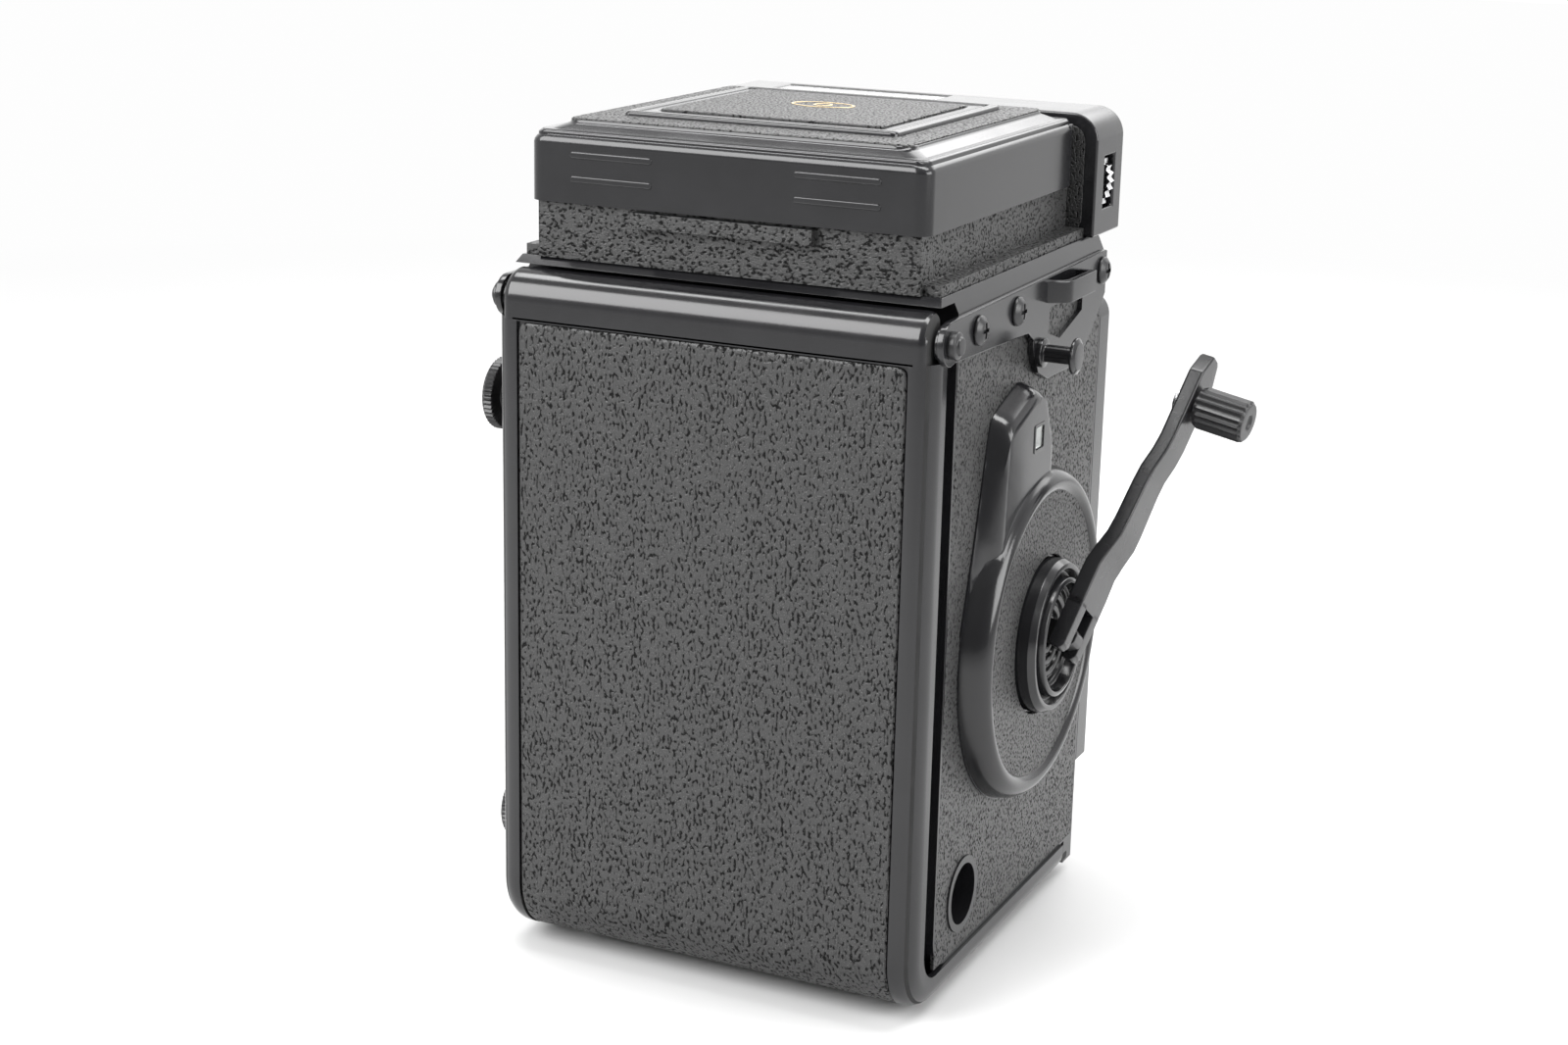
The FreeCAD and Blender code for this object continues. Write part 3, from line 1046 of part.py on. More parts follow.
def lens_board():
    """The moving front: board, guide rods, barrels, lenses, blades and wheels."""
    front = -d.board_back - d.board_thick
    board = Solid("board")
    board.pad("XZ_Plane", rectangle(-d.board_half, d.board_half, d.board_low, d.board_top),
              (front, -d.board_back))
    board.fillet(4.0, edge_at("y", x=d.board_half, z=d.board_top))
    lens_high = d.lens_low + d.lens_pitch
    holes = [rod(f"board_hole{n}", "y", (0, height), d.tube_r, (-50, -38))
             for n, height in enumerate((d.lens_low, lens_high))]
    stems = ((d.wheel_x, d.wheel_z), (-d.wheel_x, d.wheel_z), (d.wheel_x, d.timer_z))
    holes += [rod(f"stem_hole{n}", "y", centre, d.stem_r + d.fit, (-50, -41.5))
              for n, centre in enumerate(stems)]
    rods = [rod(f"guide{n}", "y", centre, d.guide_r, (-d.board_back - 1, -20))
            for n, centre in enumerate(guide_places())]
    keep(fuse("board_with_rods", cut("board_final", board.body, *holes), *rods), "lens_board")
    face = -d.lens_front
    for name, height, trim in (("taking_lens_barrel", d.lens_low, 0),
                               ("viewing_lens_barrel", lens_high, 1.0)):
        profile = [(-36.5, 11.2), (-36.5, d.tube_r), (front, d.tube_r), (front, d.barrel_r),
                   (front - 5, d.barrel_r), (front - 5.6, 15.2), (face + 1 + trim, 15.2),
                   (face + trim, 14.6), (face + trim, 12.6), (-54, d.glass_r), (-50, d.glass_r),
                   (-50, 10.2), (-40, 10.2), (-40, 11.2)]
        keep(lens_turn(name + "_turned", height, profile), name)
    glasses = []
    for n, height in enumerate((d.lens_low, lens_high)):
        glasses.append(lens_turn(f"front_glass{n}", height, [
            (-50.0, 0), (-50.0, d.glass_r), (-53.2, d.glass_r), (-54.6, 8.4), (-55.4, 5.2),
            (-55.7, 0)]))
        glasses.append(rod(f"rear_glass{n}", "y", (0, height), 10.2, (-43, -40.4)))
    keep(group("glass_group", *glasses), "lens_glasses")
    shutter = rod("shutter_disc", "y", (0, d.lens_low), d.blade_r, (-46.4, -45.9))
    iris = tube("iris_disc", "y", (0, d.lens_low), d.blade_r, 4.5, (-47.6, -47.1))
    keep(group("blade_group", shutter, iris), "shutter_and_iris")
    for name, centre in zip(("aperture_wheel", "shutter_wheel"), stems):
        wheel = rod(f"{name}_disc", "y", centre, d.wheel_r, (front - 4.2, front - d.gap))
        stem = rod(f"{name}_stem", "y", centre, d.stem_r, (front - 1, -42))
        keep(fuse(f"{name}_whole", wheel, stem), name)
    width = (d.wheel_x - 1.8, d.wheel_x + 1.8)
    lever = box("timer_bar", width, (front - 2.4, front - 0.4), (d.timer_z - 12, d.timer_z))
    boss = rod("timer_boss", "y", stems[2], 3.2, (front - 2.8, front - d.gap))
    stem = rod("timer_stem", "y", stems[2], d.stem_r, (front - 1, -42))
    tip = box("timer_tip", width, (front - 5.4, front - 2), (d.timer_z - 12, d.timer_z - 10))
    keep(fuse("timer_whole", lever, boss, stem, tip), "self_timer_lever")


def release():
    """Shutter release: a sprung button in a locking collar on the body's front."""
    centre = (-d.button_x, d.button_z)
    keep(tube("collar_ring", "y", centre, d.collar_r, d.button_r + 0.2,
              (-46.5, -d.body_front - d.gap)), "release_collar")
    head = rod("button_head", "y", centre, d.button_r, (-50, -44.5))
    stem = rod("button_stem", "y", centre, 2.2, (-45, -36))
    body = fuse("button_body", head, stem)
    keep(cut("button_final", body, rod("cable_bore", "y", centre, 1.4, (-51, -46))),
         "release_button")


# ---------------------------------------------------------------- outer fittings

def left_side_fittings():
    """Focusing knob, spool knobs, accessory shoe and sync socket."""
    centre = (-d.focus_y, d.focus_z)
    knob = rod("focus_grip", "x", centre, d.focus_r, (39.0, 50.5))
    shaft = rod("focus_shaft", "x", centre, 2.5, (31.5, 42))
    keep(fuse("focus_knob_whole", knob, shaft), "focus_knob")
    for name, y, z in (("takeup_knob", d.takeup_y, d.takeup_z),
                       ("supply_knob", d.supply_y, d.supply_z)):
        rim = rod(f"{name}_rim", "x", (y, z), d.knob_r, (d.knob_out - 2, d.knob_out))
        neck = rod(f"{name}_neck", "x", (y, z), 4.0, (39.0, d.knob_out - 1))
        tip = rod(f"{name}_tip", "x", (y, z), d.spool_bore - 0.08, (31, 40))
        keep(fuse(f"{name}_whole", rim, neck, tip), name)
    along = (-d.shoe_front, -d.shoe_rear)
    base = box("shoe_base", (d.body_half, d.body_half + 1.6), along, (d.shoe_low, d.shoe_high))
    rails = []
    for n, (low, high) in enumerate(((d.shoe_low, d.shoe_low + 1.7),
                                     (d.shoe_high - 1.7, d.shoe_high))):
        rails.append(box(f"shoe_wall{n}", (d.body_half + 1.5, d.shoe_out), along, (low, high)))
    for n, (low, high) in enumerate(((d.shoe_low + 0.4, d.shoe_low + 4.8),
                                     (d.shoe_high - 4.8, d.shoe_high - 0.6))):
        rails.append(box(f"shoe_lip{n}", (d.shoe_out - 1.2, d.shoe_out), along, (low, high)))
    keep(fuse("shoe_whole", base, *rails), "accessory_shoe")
    centre = (-d.sync_y, d.sync_z)
    socket = cut("sync_whole", rod("sync_outer", "x", centre, d.sync_r, (36.5, 42.5)),
                 rod("sync_bore", "x", centre, 2.4, (38, 44)))
    keep(socket, "sync_socket")


def lug_hardware():
    """Strap lug plates, their screws, the strap studs and the hinge pins."""
    outer = d.body_half + d.lug_thick
    plate = Solid("lug_plate")
    plate.pad("YZ_Plane", [
        (34, 109.6), (34, 116.6), (-38.5, 117.2), (-38.5, 109.5), (-32, 103.5), (-24, 99.2),
        (-10, 99.2), (-5, 101.2), (-2.4, 105), (-2.3, 107)], (d.body_half, outer))
    end = rod("lug_end", "x", (d.hinge_y, d.hinge_z + 0.1), 3.6, (d.body_half, outer))
    height = (d.bridge_low, d.bridge_high)
    bar = box("lug_bar", (d.bridge_out - 1.4, d.bridge_out), (-d.bridge_front, -d.bridge_rear),
              height)
    legs = [box(f"lug_leg{n}", (d.body_half + 0.5, d.bridge_out), y, height)
            for n, y in enumerate(((-d.bridge_rear - 1.4, -d.bridge_rear),
                                   (-d.bridge_front, -d.bridge_front + 1.4)))]
    whole = fuse("lug_whole", plate.body, end, bar, *legs)
    window = Solid("lug_window")
    window.pad("YZ_Plane", [(-9.5, 111.6), (-9, 107.2), (-15, 105.4), (-26, 108.5),
                            (-26, 111.6)], (36, 41))
    pin_bore = rod("lug_pin_bore", "x", (d.hinge_y, d.hinge_z), d.axle, (36, 42))
    left = cut("lug_left", whole, window.body, pin_bore)
    keep(group("lug_pair", left, mirrored("lug_right", left)), "strap_lugs")
    screws = []
    for n, (y, z) in enumerate(((23.6, 113.4), (6.5, 113.6), (-36, 113.9))):
        head = rod(f"screw{n}", "x", (y, z), d.screw_r, (outer, outer + 1.3))
        screws += [head, mirrored(f"screw_twin{n}", head)]
    keep(group("screw_group", *screws), "lug_screws")
    where = (-d.stud_y, d.stud_z)
    stud = fuse("stud_left", rod("stud_foot", "x", where, 2.6, (outer, outer + 1)),
                rod("stud_shank", "x", where, 1.5, (outer, d.stud_out)),
                rod("stud_head", "x", where, 3.15, (d.stud_out - 1, d.stud_out)))
    keep(group("stud_group", stud, mirrored("stud_right", stud)), "strap_studs")
    axis = (d.hinge_y, d.hinge_z)
    pin = fuse("pin_left", rod("pin_shank", "x", axis, d.axle, (36.6, outer + 1)),
               rod("pin_head", "x", axis, 2.3, (outer, outer + 1.9)))
    pivot = rod("hood_pin", "x", (-d.pivot_y, d.pivot_z), 0.6, (32.2, d.cover_half))
    keep(group("pin_group", pin, mirrored("pin_right", pin), pivot,
               mirrored("hood_pin_right", pivot)), "hinge_pins")


# ---------------------------------------------------------------- build and write

for make in (body_casting, side_leathers, gear_plate, crank_cover, counter_dial,
             spools, wind_train, crank_hub, crank_arm, back_door, door_fittings, hood_base,
             hood_cover, hood_leaves, mirror, meter, lens_board, release,
             left_side_fittings, lug_hardware):
    make()
doc.recompute()

for obj in doc.Objects:
    if "Invalid" in obj.State or "Error" in obj.State:
        raise RuntimeError(f"{obj.Name} failed: {obj.State}")
for obj in sub_parts:
    if obj.Shape.isNull() or not obj.Shape.isValid() or not obj.Shape.Solids:
        raise RuntimeError(f"{obj.Label} has no valid solid")

os.makedirs("parts", exist_ok=True)
for obj in sub_parts:
    obj.Shape.exportStep(f"parts/{obj.Label}.step")
print(len(sub_parts), "sub-parts")
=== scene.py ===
"""Looks of the twin lens reflex camera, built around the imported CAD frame.

Every shape is drawn in millimetres in the row frame: +Z up, the lenses face -Y, the crank is on -X.
"""
import json
import math

import bpy
import bmesh
from mathutils import Matrix, Vector


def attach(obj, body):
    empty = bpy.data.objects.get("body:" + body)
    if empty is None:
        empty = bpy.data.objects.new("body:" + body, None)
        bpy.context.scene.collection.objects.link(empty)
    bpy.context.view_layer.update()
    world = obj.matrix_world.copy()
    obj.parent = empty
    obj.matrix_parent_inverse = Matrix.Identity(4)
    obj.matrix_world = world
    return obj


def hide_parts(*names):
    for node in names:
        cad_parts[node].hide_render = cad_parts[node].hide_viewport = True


MM = 0.001
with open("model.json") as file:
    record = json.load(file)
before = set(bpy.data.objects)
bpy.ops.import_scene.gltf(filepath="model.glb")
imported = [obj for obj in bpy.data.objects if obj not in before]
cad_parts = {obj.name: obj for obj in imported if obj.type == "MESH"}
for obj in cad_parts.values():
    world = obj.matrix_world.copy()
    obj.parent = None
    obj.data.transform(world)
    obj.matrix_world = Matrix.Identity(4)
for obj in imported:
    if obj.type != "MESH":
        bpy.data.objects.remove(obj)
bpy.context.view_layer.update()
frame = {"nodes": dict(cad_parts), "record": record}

# Places and sizes that several pieces share, in millimetres in the row frame.
BODY_HALF, DECK = 38.5, 119.8
HINGE_Y, HINGE_Z = 35.0, 113.0
SEAT_HALF, SEAT_DEPTH, SEAT_TOP = 34.6, 0.65, 109.8
LENS_LOW, LENS_HIGH = 52.0, 94.0
FLOOR_LEVEL, FLOOR_RADIUS = -1.5, 2500

# The crank: its axis, the ring stamped round it, and the folding arm, turned and leaned in degrees.
CRANK_Y, CRANK_Z = -5.6, 55.6
RING_CREST, RING_FOOT = 26.4, 29.2
FOLD_X, ARM_LONG = -47.6, 46.0
ARM_TURN, ARM_LEAN = 32.0, 11.5

# The camera: angles in degrees, its target, distance and focal length in millimetres.
CAMERA_AZIMUTH, CAMERA_ELEVATION, CAMERA_ROLL = 205.085, 15.652, 1.316
CAMERA_TARGET, CAMERA_DISTANCE, CAMERA_LENS = (0.58, 8.0, 72.7), 447.56, 59.61

# Edges that turn by more than this many degrees are shaded sharp.
SHARP = 38


# ------------------------------------------------------------------ materials

class Nodes:
    """The nodes of a material or of the world."""

    def __init__(self, tree):
        self.tree = tree

    def feed(self, node, inputs):
        """Gives each named input of a node a value, or another node's output."""
        for name, value in inputs.items():
            if isinstance(value, bpy.types.NodeSocket):
                self.tree.links.new(value, node.inputs[name])
            else:
                node.inputs[name].default_value = value

    def add(self, kind, inputs=None, output=0, **settings):
        """Adds a node and returns one of its outputs."""
        node = self.tree.nodes.new("ShaderNode" + kind)
        for name, value in settings.items():
            setattr(node, name, value)
        self.feed(node, inputs or {})
        return node.outputs[output]

    def position(self, stretch=(1, 1, 1)):
        """The row-frame position, stretched along the axes."""
        return self.add("Mapping", {"Vector": self.add("TexCoord", output="Object"),
                                    "Scale": stretch})

    def noise(self, vector, size_mm, detail=3.0, rough=0.55):
        """Noise whose features are about size_mm across."""
        return self.add("TexNoise", {"Vector": vector, "Scale": 1000.0 / size_mm,
                                     "Detail": detail, "Roughness": rough}, "Fac")

    def ramp(self, factor, *stops):
        """A ramp from (position, colour) stops; a plain number stands for a neutral colour."""
        node = self.tree.nodes.new("ShaderNodeValToRGB")
        while len(node.color_ramp.elements) < len(stops):
            node.color_ramp.elements.new(0.5)
        for element, (position, colour) in zip(node.color_ramp.elements, stops):
            neutral = not isinstance(colour, (list, tuple))
            element.position = position
            element.color = (*((colour,) * 3 if neutral else colour), 1.0)
        self.feed(node, {"Fac": factor})
        return node.outputs["Color"]


class Look(Nodes):
    """A material with a Principled shader."""

    def __init__(self, name):
        self.material = bpy.data.materials.new(name)
        self.material.use_nodes = True
        super().__init__(self.material.node_tree)
        self.shader = self.tree.nodes["Principled BSDF"]

    def shade(self, **inputs):
        """Sets the shader's inputs; an underscore stands for a space in a name."""
        self.feed(self.shader, {name.replace("_", " "): value for name, value in inputs.items()})

    def bump(self, height, distance_mm, previous=None):
        """Adds a bump layer over a previous one and returns it."""
        inputs = {"Strength": 1.0, "Distance": distance_mm * MM, "Height": height}
        if previous is not None:
            inputs["Normal"] = previous
        normal = self.add("Bump", inputs)
        self.shade(Normal=normal)
        return normal


def leather(name, grain_mm, stretch, depth_mm, light=0.024):
    """Embossed leather cloth: a soft face broken by short pits, with their shade painted dark into
    the colour, and small glints painted in as bright specks.
    """
    look = Look(name)
    position = look.position(stretch)
    plateau = look.ramp(look.noise(position, grain_mm, 0.6, 0.5), (0.33, 0.0), (0.51, 1.0))
    fine = look.noise(position, grain_mm * 0.33, 2.0, 0.6)
    # Painted highlights: bright specks of fine noise added to the base colour below, standing in for
    # glints of light.
    painted_glints = look.ramp(fine, (0.6, 0.0), (0.72, 1.0))
    # Painted shade: the base colour is made darker in the pits, and the specular level below is
    # turned down there as well.
    pit_shaded_colour = look.ramp(plateau, (0.0, 0.004), (0.6, light * 0.8), (1.0, light))
    colour = look.add("MixRGB", {"Color1": pit_shaded_colour, "Color2": painted_glints, "Fac": light * 4.0},
                      blend_type="ADD")
    look.shade(Base_Color=colour,
               Roughness=look.ramp(plateau, (0.0, 0.75), (0.5, 0.5), (1.0, 0.38)),
               Specular_IOR_Level=look.ramp(plateau, (0.0, 0.12), (0.55, 0.5), (1.0, 0.58)))
    look.bump(fine, depth_mm * 0.5, look.bump(plateau, depth_mm))
    return look.material


def paint(name, base, roughness, grain_mm=0.35, depth_mm=0.004):
    """Enamel on metal or moulded plastic, with a faint orange peel and patchy gloss."""
    look = Look(name)
    position = look.position()
    patches = look.noise(position, 9.0, 4.0)
    look.shade(Base_Color=look.ramp(patches, (0.3, [c * 0.85 for c in base]),
                                    (0.7, [c * 1.2 for c in base])),
               Roughness=look.ramp(patches, (0.3, roughness * 0.88), (0.7, roughness * 1.15)))
    look.bump(look.noise(position, grain_mm, 2.0), depth_mm)
    return look.material


def metal(name, base, roughness):
    """Bare or plated metal with fine machining marks."""
    look = Look(name)
    marks = look.noise(look.position(), 0.5, 4.0, 0.7)
    look.shade(Metallic=1.0,
               Base_Color=look.ramp(marks, (0.3, [c * 0.86 for c in base]), (0.7, base)),
               Roughness=look.ramp(marks, (0.3, roughness * 0.8), (0.7, roughness * 1.3)))
    look.bump(marks, 0.003)
    return look.material


def clear(name, tint, coating=None, roughness=0.02):
    """Glass, with an optional lens coating."""
    look = Look(name)
    dust = look.noise(look.position(), 3.0, 5.0)
    look.shade(Base_Color=(*tint, 1.0), Transmission_Weight=1.0, IOR=1.5,
               Roughness=look.ramp(dust, (0.45, roughness), (0.85, roughness * 3)))
    if coating:
        look.shade(Specular_Tint=(*coating, 1.0))
    return look.material


def silvered(name):
    """A front-silvered mirror with a trace of dust."""
    look = Look(name)
    dust = look.noise(look.position(), 2.0, 5.0)
    look.shade(Base_Color=look.ramp(dust, (0.3, 0.86), (0.8, 0.92)), Metallic=1.0, Roughness=0.03)
    return look.material


BACK_LEATHER = leather("leather_back", 0.5, (1.0, 1.0, 0.62), 0.14)
SIDE_LEATHER = leather("leather_side", 0.42, (1.0, 1.0, 0.8), 0.1)
HOOD_LEATHER = leather("leather_hood", 0.5, (0.75, 0.75, 1.0), 0.14, 0.018)
ENAMEL = paint("black_enamel", (0.009, 0.009, 0.01), 0.17)
SATIN_BLACK = paint("satin_black", (0.012, 0.012, 0.013), 0.34, 0.25, 0.006)
MATT_BLACK = paint("matt_black", (0.008, 0.008, 0.008), 0.75, 0.3, 0.01)
PLASTIC = paint("black_plastic", (0.016, 0.016, 0.017), 0.36, 0.5, 0.006)
ARM_BLACK = paint("arm_black", (0.01, 0.01, 0.011), 0.27, 0.45, 0.018)
CHROME = metal("chrome_plate", (0.72, 0.72, 0.73), 0.14)
STEEL = metal("satin_steel", (0.5, 0.5, 0.51), 0.3)
BRASS = metal("machined_brass", (0.65, 0.48, 0.2), 0.28)
GOLD = metal("gold_plate", (0.78, 0.6, 0.32), 0.22)
WINDOW_GLASS = clear("window_glass", (0.95, 0.97, 0.97))
LENS_GLASS = clear("coated_glass", (0.9, 0.92, 1.0), (0.75, 0.55, 1.0))
SCREEN_GLASS = clear("ground_glass", (0.85, 0.87, 0.85), None, 0.35)
MIRROR = silvered("mirror_silver")
WHITE_PRINT = paint("white_print", (0.75, 0.75, 0.73), 0.5)
RED_PRINT = paint("red_print", (0.5, 0.02, 0.015), 0.5)


# ------------------------------------------------------------------ mesh tools

pieces = []


def new_object(name, data):
    """An object in the scene, for a mesh, a light or a camera."""
    made = bpy.data.objects.new(name, data)
    bpy.context.scene.collection.objects.link(made)
    return made


def mesh_in_metres(name, bm):
    """A bmesh drawn in millimetres as a mesh in metres."""
    mesh = bpy.data.meshes.new(name)
    bmesh.ops.scale(bm, vec=(MM, MM, MM), verts=bm.verts)
    bm.to_mesh(mesh)
    bm.free()
    return mesh


def apply_modifiers(piece):
    """Puts the result of a piece's modifiers in place of its mesh."""
    graph = bpy.context.evaluated_depsgraph_get()
    result = bpy.data.meshes.new_from_object(piece.evaluated_get(graph))
    piece.modifiers.clear()
    old = piece.data
    piece.data = result
    bpy.data.meshes.remove(old)


def weigh_normals(piece):
    """Shades flat faces flat beside their rounded edges."""
    modifier = piece.modifiers.new("weigh", "WEIGHTED_NORMAL")
    modifier.keep_sharp = True
    apply_modifiers(piece)


def add_piece(name, bm, material, body, nodes=(), sharp=SHARP, at=None):
    """Turns a bmesh drawn in millimetres into a piece that rides on a CAD body."""
    bmesh.ops.recalc_face_normals(bm, faces=bm.faces)
    if at is not None:
        bmesh.ops.transform(bm, matrix=at, verts=bm.verts)
    mesh = mesh_in_metres(name, bm)
    mesh.shade_smooth()
    mesh.set_sharp_from_angle(angle=math.radians(sharp))
    materials = material if isinstance(material, (list, tuple)) else [material]
    for entry in materials:
        mesh.materials.append(entry)
    piece = new_object(name, mesh)
    pieces.append(piece)
    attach(piece, body)
    if nodes:
        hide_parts(*([nodes] if isinstance(nodes, str) else nodes))
    return piece


def rounded(points, radius, steps=5, closed=True):
    """A polygon or path whose corners are replaced by curves that fit beside their edges."""
    result = []
    count = len(points)
    for index, point in enumerate(points):
        here = Vector(point)
        if not closed and index in (0, count - 1):
            result.append(here)
            continue
        before, after = Vector(points[index - 1]), Vector(points[(index + 1) % count])
        back, ahead = before - here, after - here
        turn = math.pi - back.angle(ahead, 0.0)
        if turn < math.radians(12):
            result.append(here)
            continue
        reach = min(radius * math.tan(turn / 2), 0.48 * back.length, 0.48 * ahead.length)
        first, last = here + back.normalized() * reach, here + ahead.normalized() * reach
        for step in range(steps + 1):
            t = step / steps
            result.append(first * (1 - t) ** 2 + here * (2 * t * (1 - t)) + last * t ** 2)
    return result


def on_plane(axis, point, along):
    """A 2-D outline point, and its place along the normal axis, as a 3-D point."""
    u, v = point[0], point[1]
    return {"x": Vector((along, u, v)), "y": Vector((u, along, v)),
            "z": Vector((u, v, along))}[axis]


def bevel_edges(bm, width, segments=2):
    """Rounds every edge that turns by more than 32 degrees."""
    edges = [edge for edge in bm.edges if len(edge.link_faces) == 2
             and edge.calc_face_angle(0) > math.radians(32)]
    bmesh.ops.bevel(bm, geom=edges, offset=width, segments=segments, profile=0.5,
                    affect="EDGES", clamp_overlap=True)


def prism(axis, outline, span, bevel=0.25, segments=2):
    """An outline extruded along an axis, its edges rounded."""
    bm = bmesh.new()
    low = [bm.verts.new(on_plane(axis, point, span[0])) for point in outline]
    high = [bm.verts.new(on_plane(axis, point, span[1])) for point in outline]
    count = len(outline)
    bm.faces.new(low)
    bm.faces.new(high)
    for index in range(count):
        following = (index + 1) % count
        bm.faces.new((low[index], low[following], high[following], high[index]))
    bmesh.ops.recalc_face_normals(bm, faces=bm.faces)
    if bevel:
        bevel_edges(bm, bevel, segments)
    return bm


def joined(*parts):
    """Several bmeshes as one."""
    whole = bmesh.new()
    for part in parts:
        mesh = bpy.data.meshes.new("scratch")
        part.to_mesh(mesh)
        part.free()
        whole.from_mesh(mesh)
        bpy.data.meshes.remove(mesh)
    return whole


def lathe(axis, centre, profile, segments=96, flutes=(0, 0.0, 0.0)):
    """A profile of (along, radius) points turned about an axis. Flutes are a number of notches,
    their depth, and the radius beyond which they are cut."""
    flute_count, flute_depth, flute_from = flutes
    bm = bmesh.new()
    rings = []
    for along, radius in profile:
        if radius < 1e-6:
            rings.append([bm.verts.new(on_plane(axis, centre, along))])
            continue
        ring = []
        for index in range(segments):
            angle = 2 * math.pi * index / segments
            reach = radius
            if flute_count and radius > flute_from:
                reach -= flute_depth * (0.5 - 0.5 * math.cos(flute_count * angle)) ** 0.6
            point = (centre[0] + reach * math.cos(angle), centre[1] + reach * math.sin(angle))
            ring.append(bm.verts.new(on_plane(axis, point, along)))
        rings.append(ring)
    for first, second in zip(rings, rings[1:]):
        for index in range(segments):
            following = (index + 1) % segments
            if len(first) == 1 and len(second) == 1:
                break
            if len(first) == 1:
                bm.faces.new((first[0], second[index], second[following]))
            elif len(second) == 1:
                bm.faces.new((first[index], first[following], second[0]))
            else:
                bm.faces.new((first[index], first[following], second[following],
                              second[index]))
    return bm


def turned(axis, centre, profile, radius=0.3, **options):
    """A solid of revolution with rounded profile corners; the profile starts and ends on the axis
    or closes on itself."""
    on_axis = profile[0][1] < 1e-6 and profile[-1][1] < 1e-6
    points = rounded(profile, radius, 4, closed=not on_axis)
    points = [(point[0], max(point[1], 0.0)) for point in points]
    if not on_axis:
        points.append(points[0])
    bm = lathe(axis, centre, points, **options)
    bmesh.ops.remove_doubles(bm, verts=bm.verts, dist=1e-4)
    return bm


def rod(axis, centre, radius, low, high, edge=0.01, **options):
    """A plain round bar between two places along its axis."""
    return turned(axis, centre, [(low, 0), (low, radius), (high, radius), (high, 0)], edge,
                  **options)


def sided(side, centre, profile, edge=0.3, **options):
    """A shape turned about X, its profile given for +X; side is 1, or -1 for its mirror image."""
    return turned("x", centre, [(side * along, reach) for along, reach in profile], edge,
                  **options)


def loft(loops, cap_ends=False):
    """Skins closed loops of equal length, in order; the last joins the first unless capped."""
    bm = bmesh.new()
    rings = [[bm.verts.new(point) for point in loop] for loop in loops]
    pairs = list(zip(rings, rings[1:]))
    if not cap_ends:
        pairs.append((rings[-1], rings[0]))
    for first, second in pairs:
        count = len(first)
        for index in range(count):
            following = (index + 1) % count
            bm.faces.new((first[index], first[following], second[following], second[index]))
    if cap_ends:
        bm.faces.new(rings[0])
        bm.faces.new(rings[-1])
    return bm


def rounded_rectangle(half, front, rear, z, radius, steps=6):
    """A loop around the Z axis, symmetric in X, with true arcs at its corners."""
    loop = []
    corners = ((half - radius, rear - radius, 0), (-half + radius, rear - radius, 90),
               (-half + radius, front + radius, 180), (half - radius, front + radius, 270))
    for x, y, start in corners:
        for step in range(steps + 1):
            angle = math.radians(start + 90 * step / steps)
            loop.append(Vector((x + radius * math.cos(angle), y + radius * math.sin(angle), z)))
    return loop


def rectangle(low_u, high_u, low_v, high_v):
    """A rectangle's corners."""
    return [(low_u, low_v), (high_u, low_v), (high_u, high_v), (low_u, high_v)]


def node_mesh(node):
    """The CAD node's shape in millimetres, welded, with its flat faces whole."""
    bm = bmesh.new()
    bm.from_mesh(frame["nodes"][node].data)
    bmesh.ops.scale(bm, vec=(1 / MM, 1 / MM, 1 / MM), verts=bm.verts)
    bmesh.ops.remove_doubles(bm, verts=bm.verts, dist=1e-3)
    bmesh.ops.dissolve_limit(bm, angle_limit=math.radians(0.5), verts=bm.verts, edges=bm.edges)
    return bm


def body_of_node(node):
    """The CAD body that a node belongs to."""
    bodies = frame["record"]["behaviour"]["bodies"]
    return next(body for body, nodes in bodies.items() if node in nodes)


def softened(node, material, width=0.2, segments=2, second=None, where=None):
    """A CAD node rebuilt with rounded edges; faces that pass the test take a second material."""
    bm = node_mesh(node)
    bevel_edges(bm, width, segments)
    if second is not None:
        bmesh.ops.recalc_face_normals(bm, faces=bm.faces)
        for face in bm.faces:
            if where(face.calc_center_median(), face.normal):
                face.material_index = 1
        material = [material, second]
    return add_piece(node + "_shell", bm, material, body_of_node(node), node)


def subtract(piece, cutter_bm):
    """Cuts a closed shape, drawn in millimetres, out of a piece."""
    bmesh.ops.recalc_face_normals(cutter_bm, faces=cutter_bm.faces)
    cutter = new_object("cutter", mesh_in_metres("cutter", cutter_bm))
    modifier = piece.modifiers.new("cut", "BOOLEAN")
    modifier.object = cutter
    modifier.operation = "DIFFERENCE"
    modifier.solver = "EXACT"
    apply_modifiers(piece)
    bpy.data.objects.remove(cutter)
    piece.data.shade_smooth()
    piece.data.set_sharp_from_angle(angle=math.radians(SHARP))


# ------------------------------------------------------------------ back door

def door_path():
    """The door's outer line as (y, z, outward y, outward z), along its floor and round the corner."""
    corner = 11.0
    path = [(-34.0, 0.0, 0.0, -1.0), (0.0, 0.0, 0.0, -1.0), (29.0, 0.0, 0.0, -1.0)]
    for step in range(1, 13):
        angle = math.radians(-90 + 90 * step / 12)
        path.append((29 + corner * math.cos(angle), corner + corner * math.sin(angle),
                     math.cos(angle), math.sin(angle)))
    return path


def rim_section(half, side_depth, radius, wall, sunk=0.0):
    """A channel section as (x, inset) points: outside from left to right, then back inside.
    The outside is sunk between the covering's edges."""
    outer = [(-half, side_depth)]
    for step in range(9):
        angle = math.radians(180 - 90 * step / 8)
        outer.append((-half + radius + radius * math.cos(angle), radius - radius * math.sin(angle)))
    outer += [(-SEAT_HALF - 0.12, 0.0), (-SEAT_HALF - 0.04, sunk * 0.12), (-SEAT_HALF, sunk)]
    outer += [(-x, inset) for x, inset in reversed(outer)]
    inner = []
    bend = max(radius - wall, 0.4)
    for step in range(7):
        angle = math.radians(180 - 90 * step / 6)
        inner.append((-half + wall + bend + bend * math.cos(angle),
                      wall + bend - bend * math.sin(angle)))
    inner = [(-half + wall, side_depth)] + inner
    inner += [(-x, inset) for x, inset in reversed(inner)]
    return outer + list(reversed(inner))


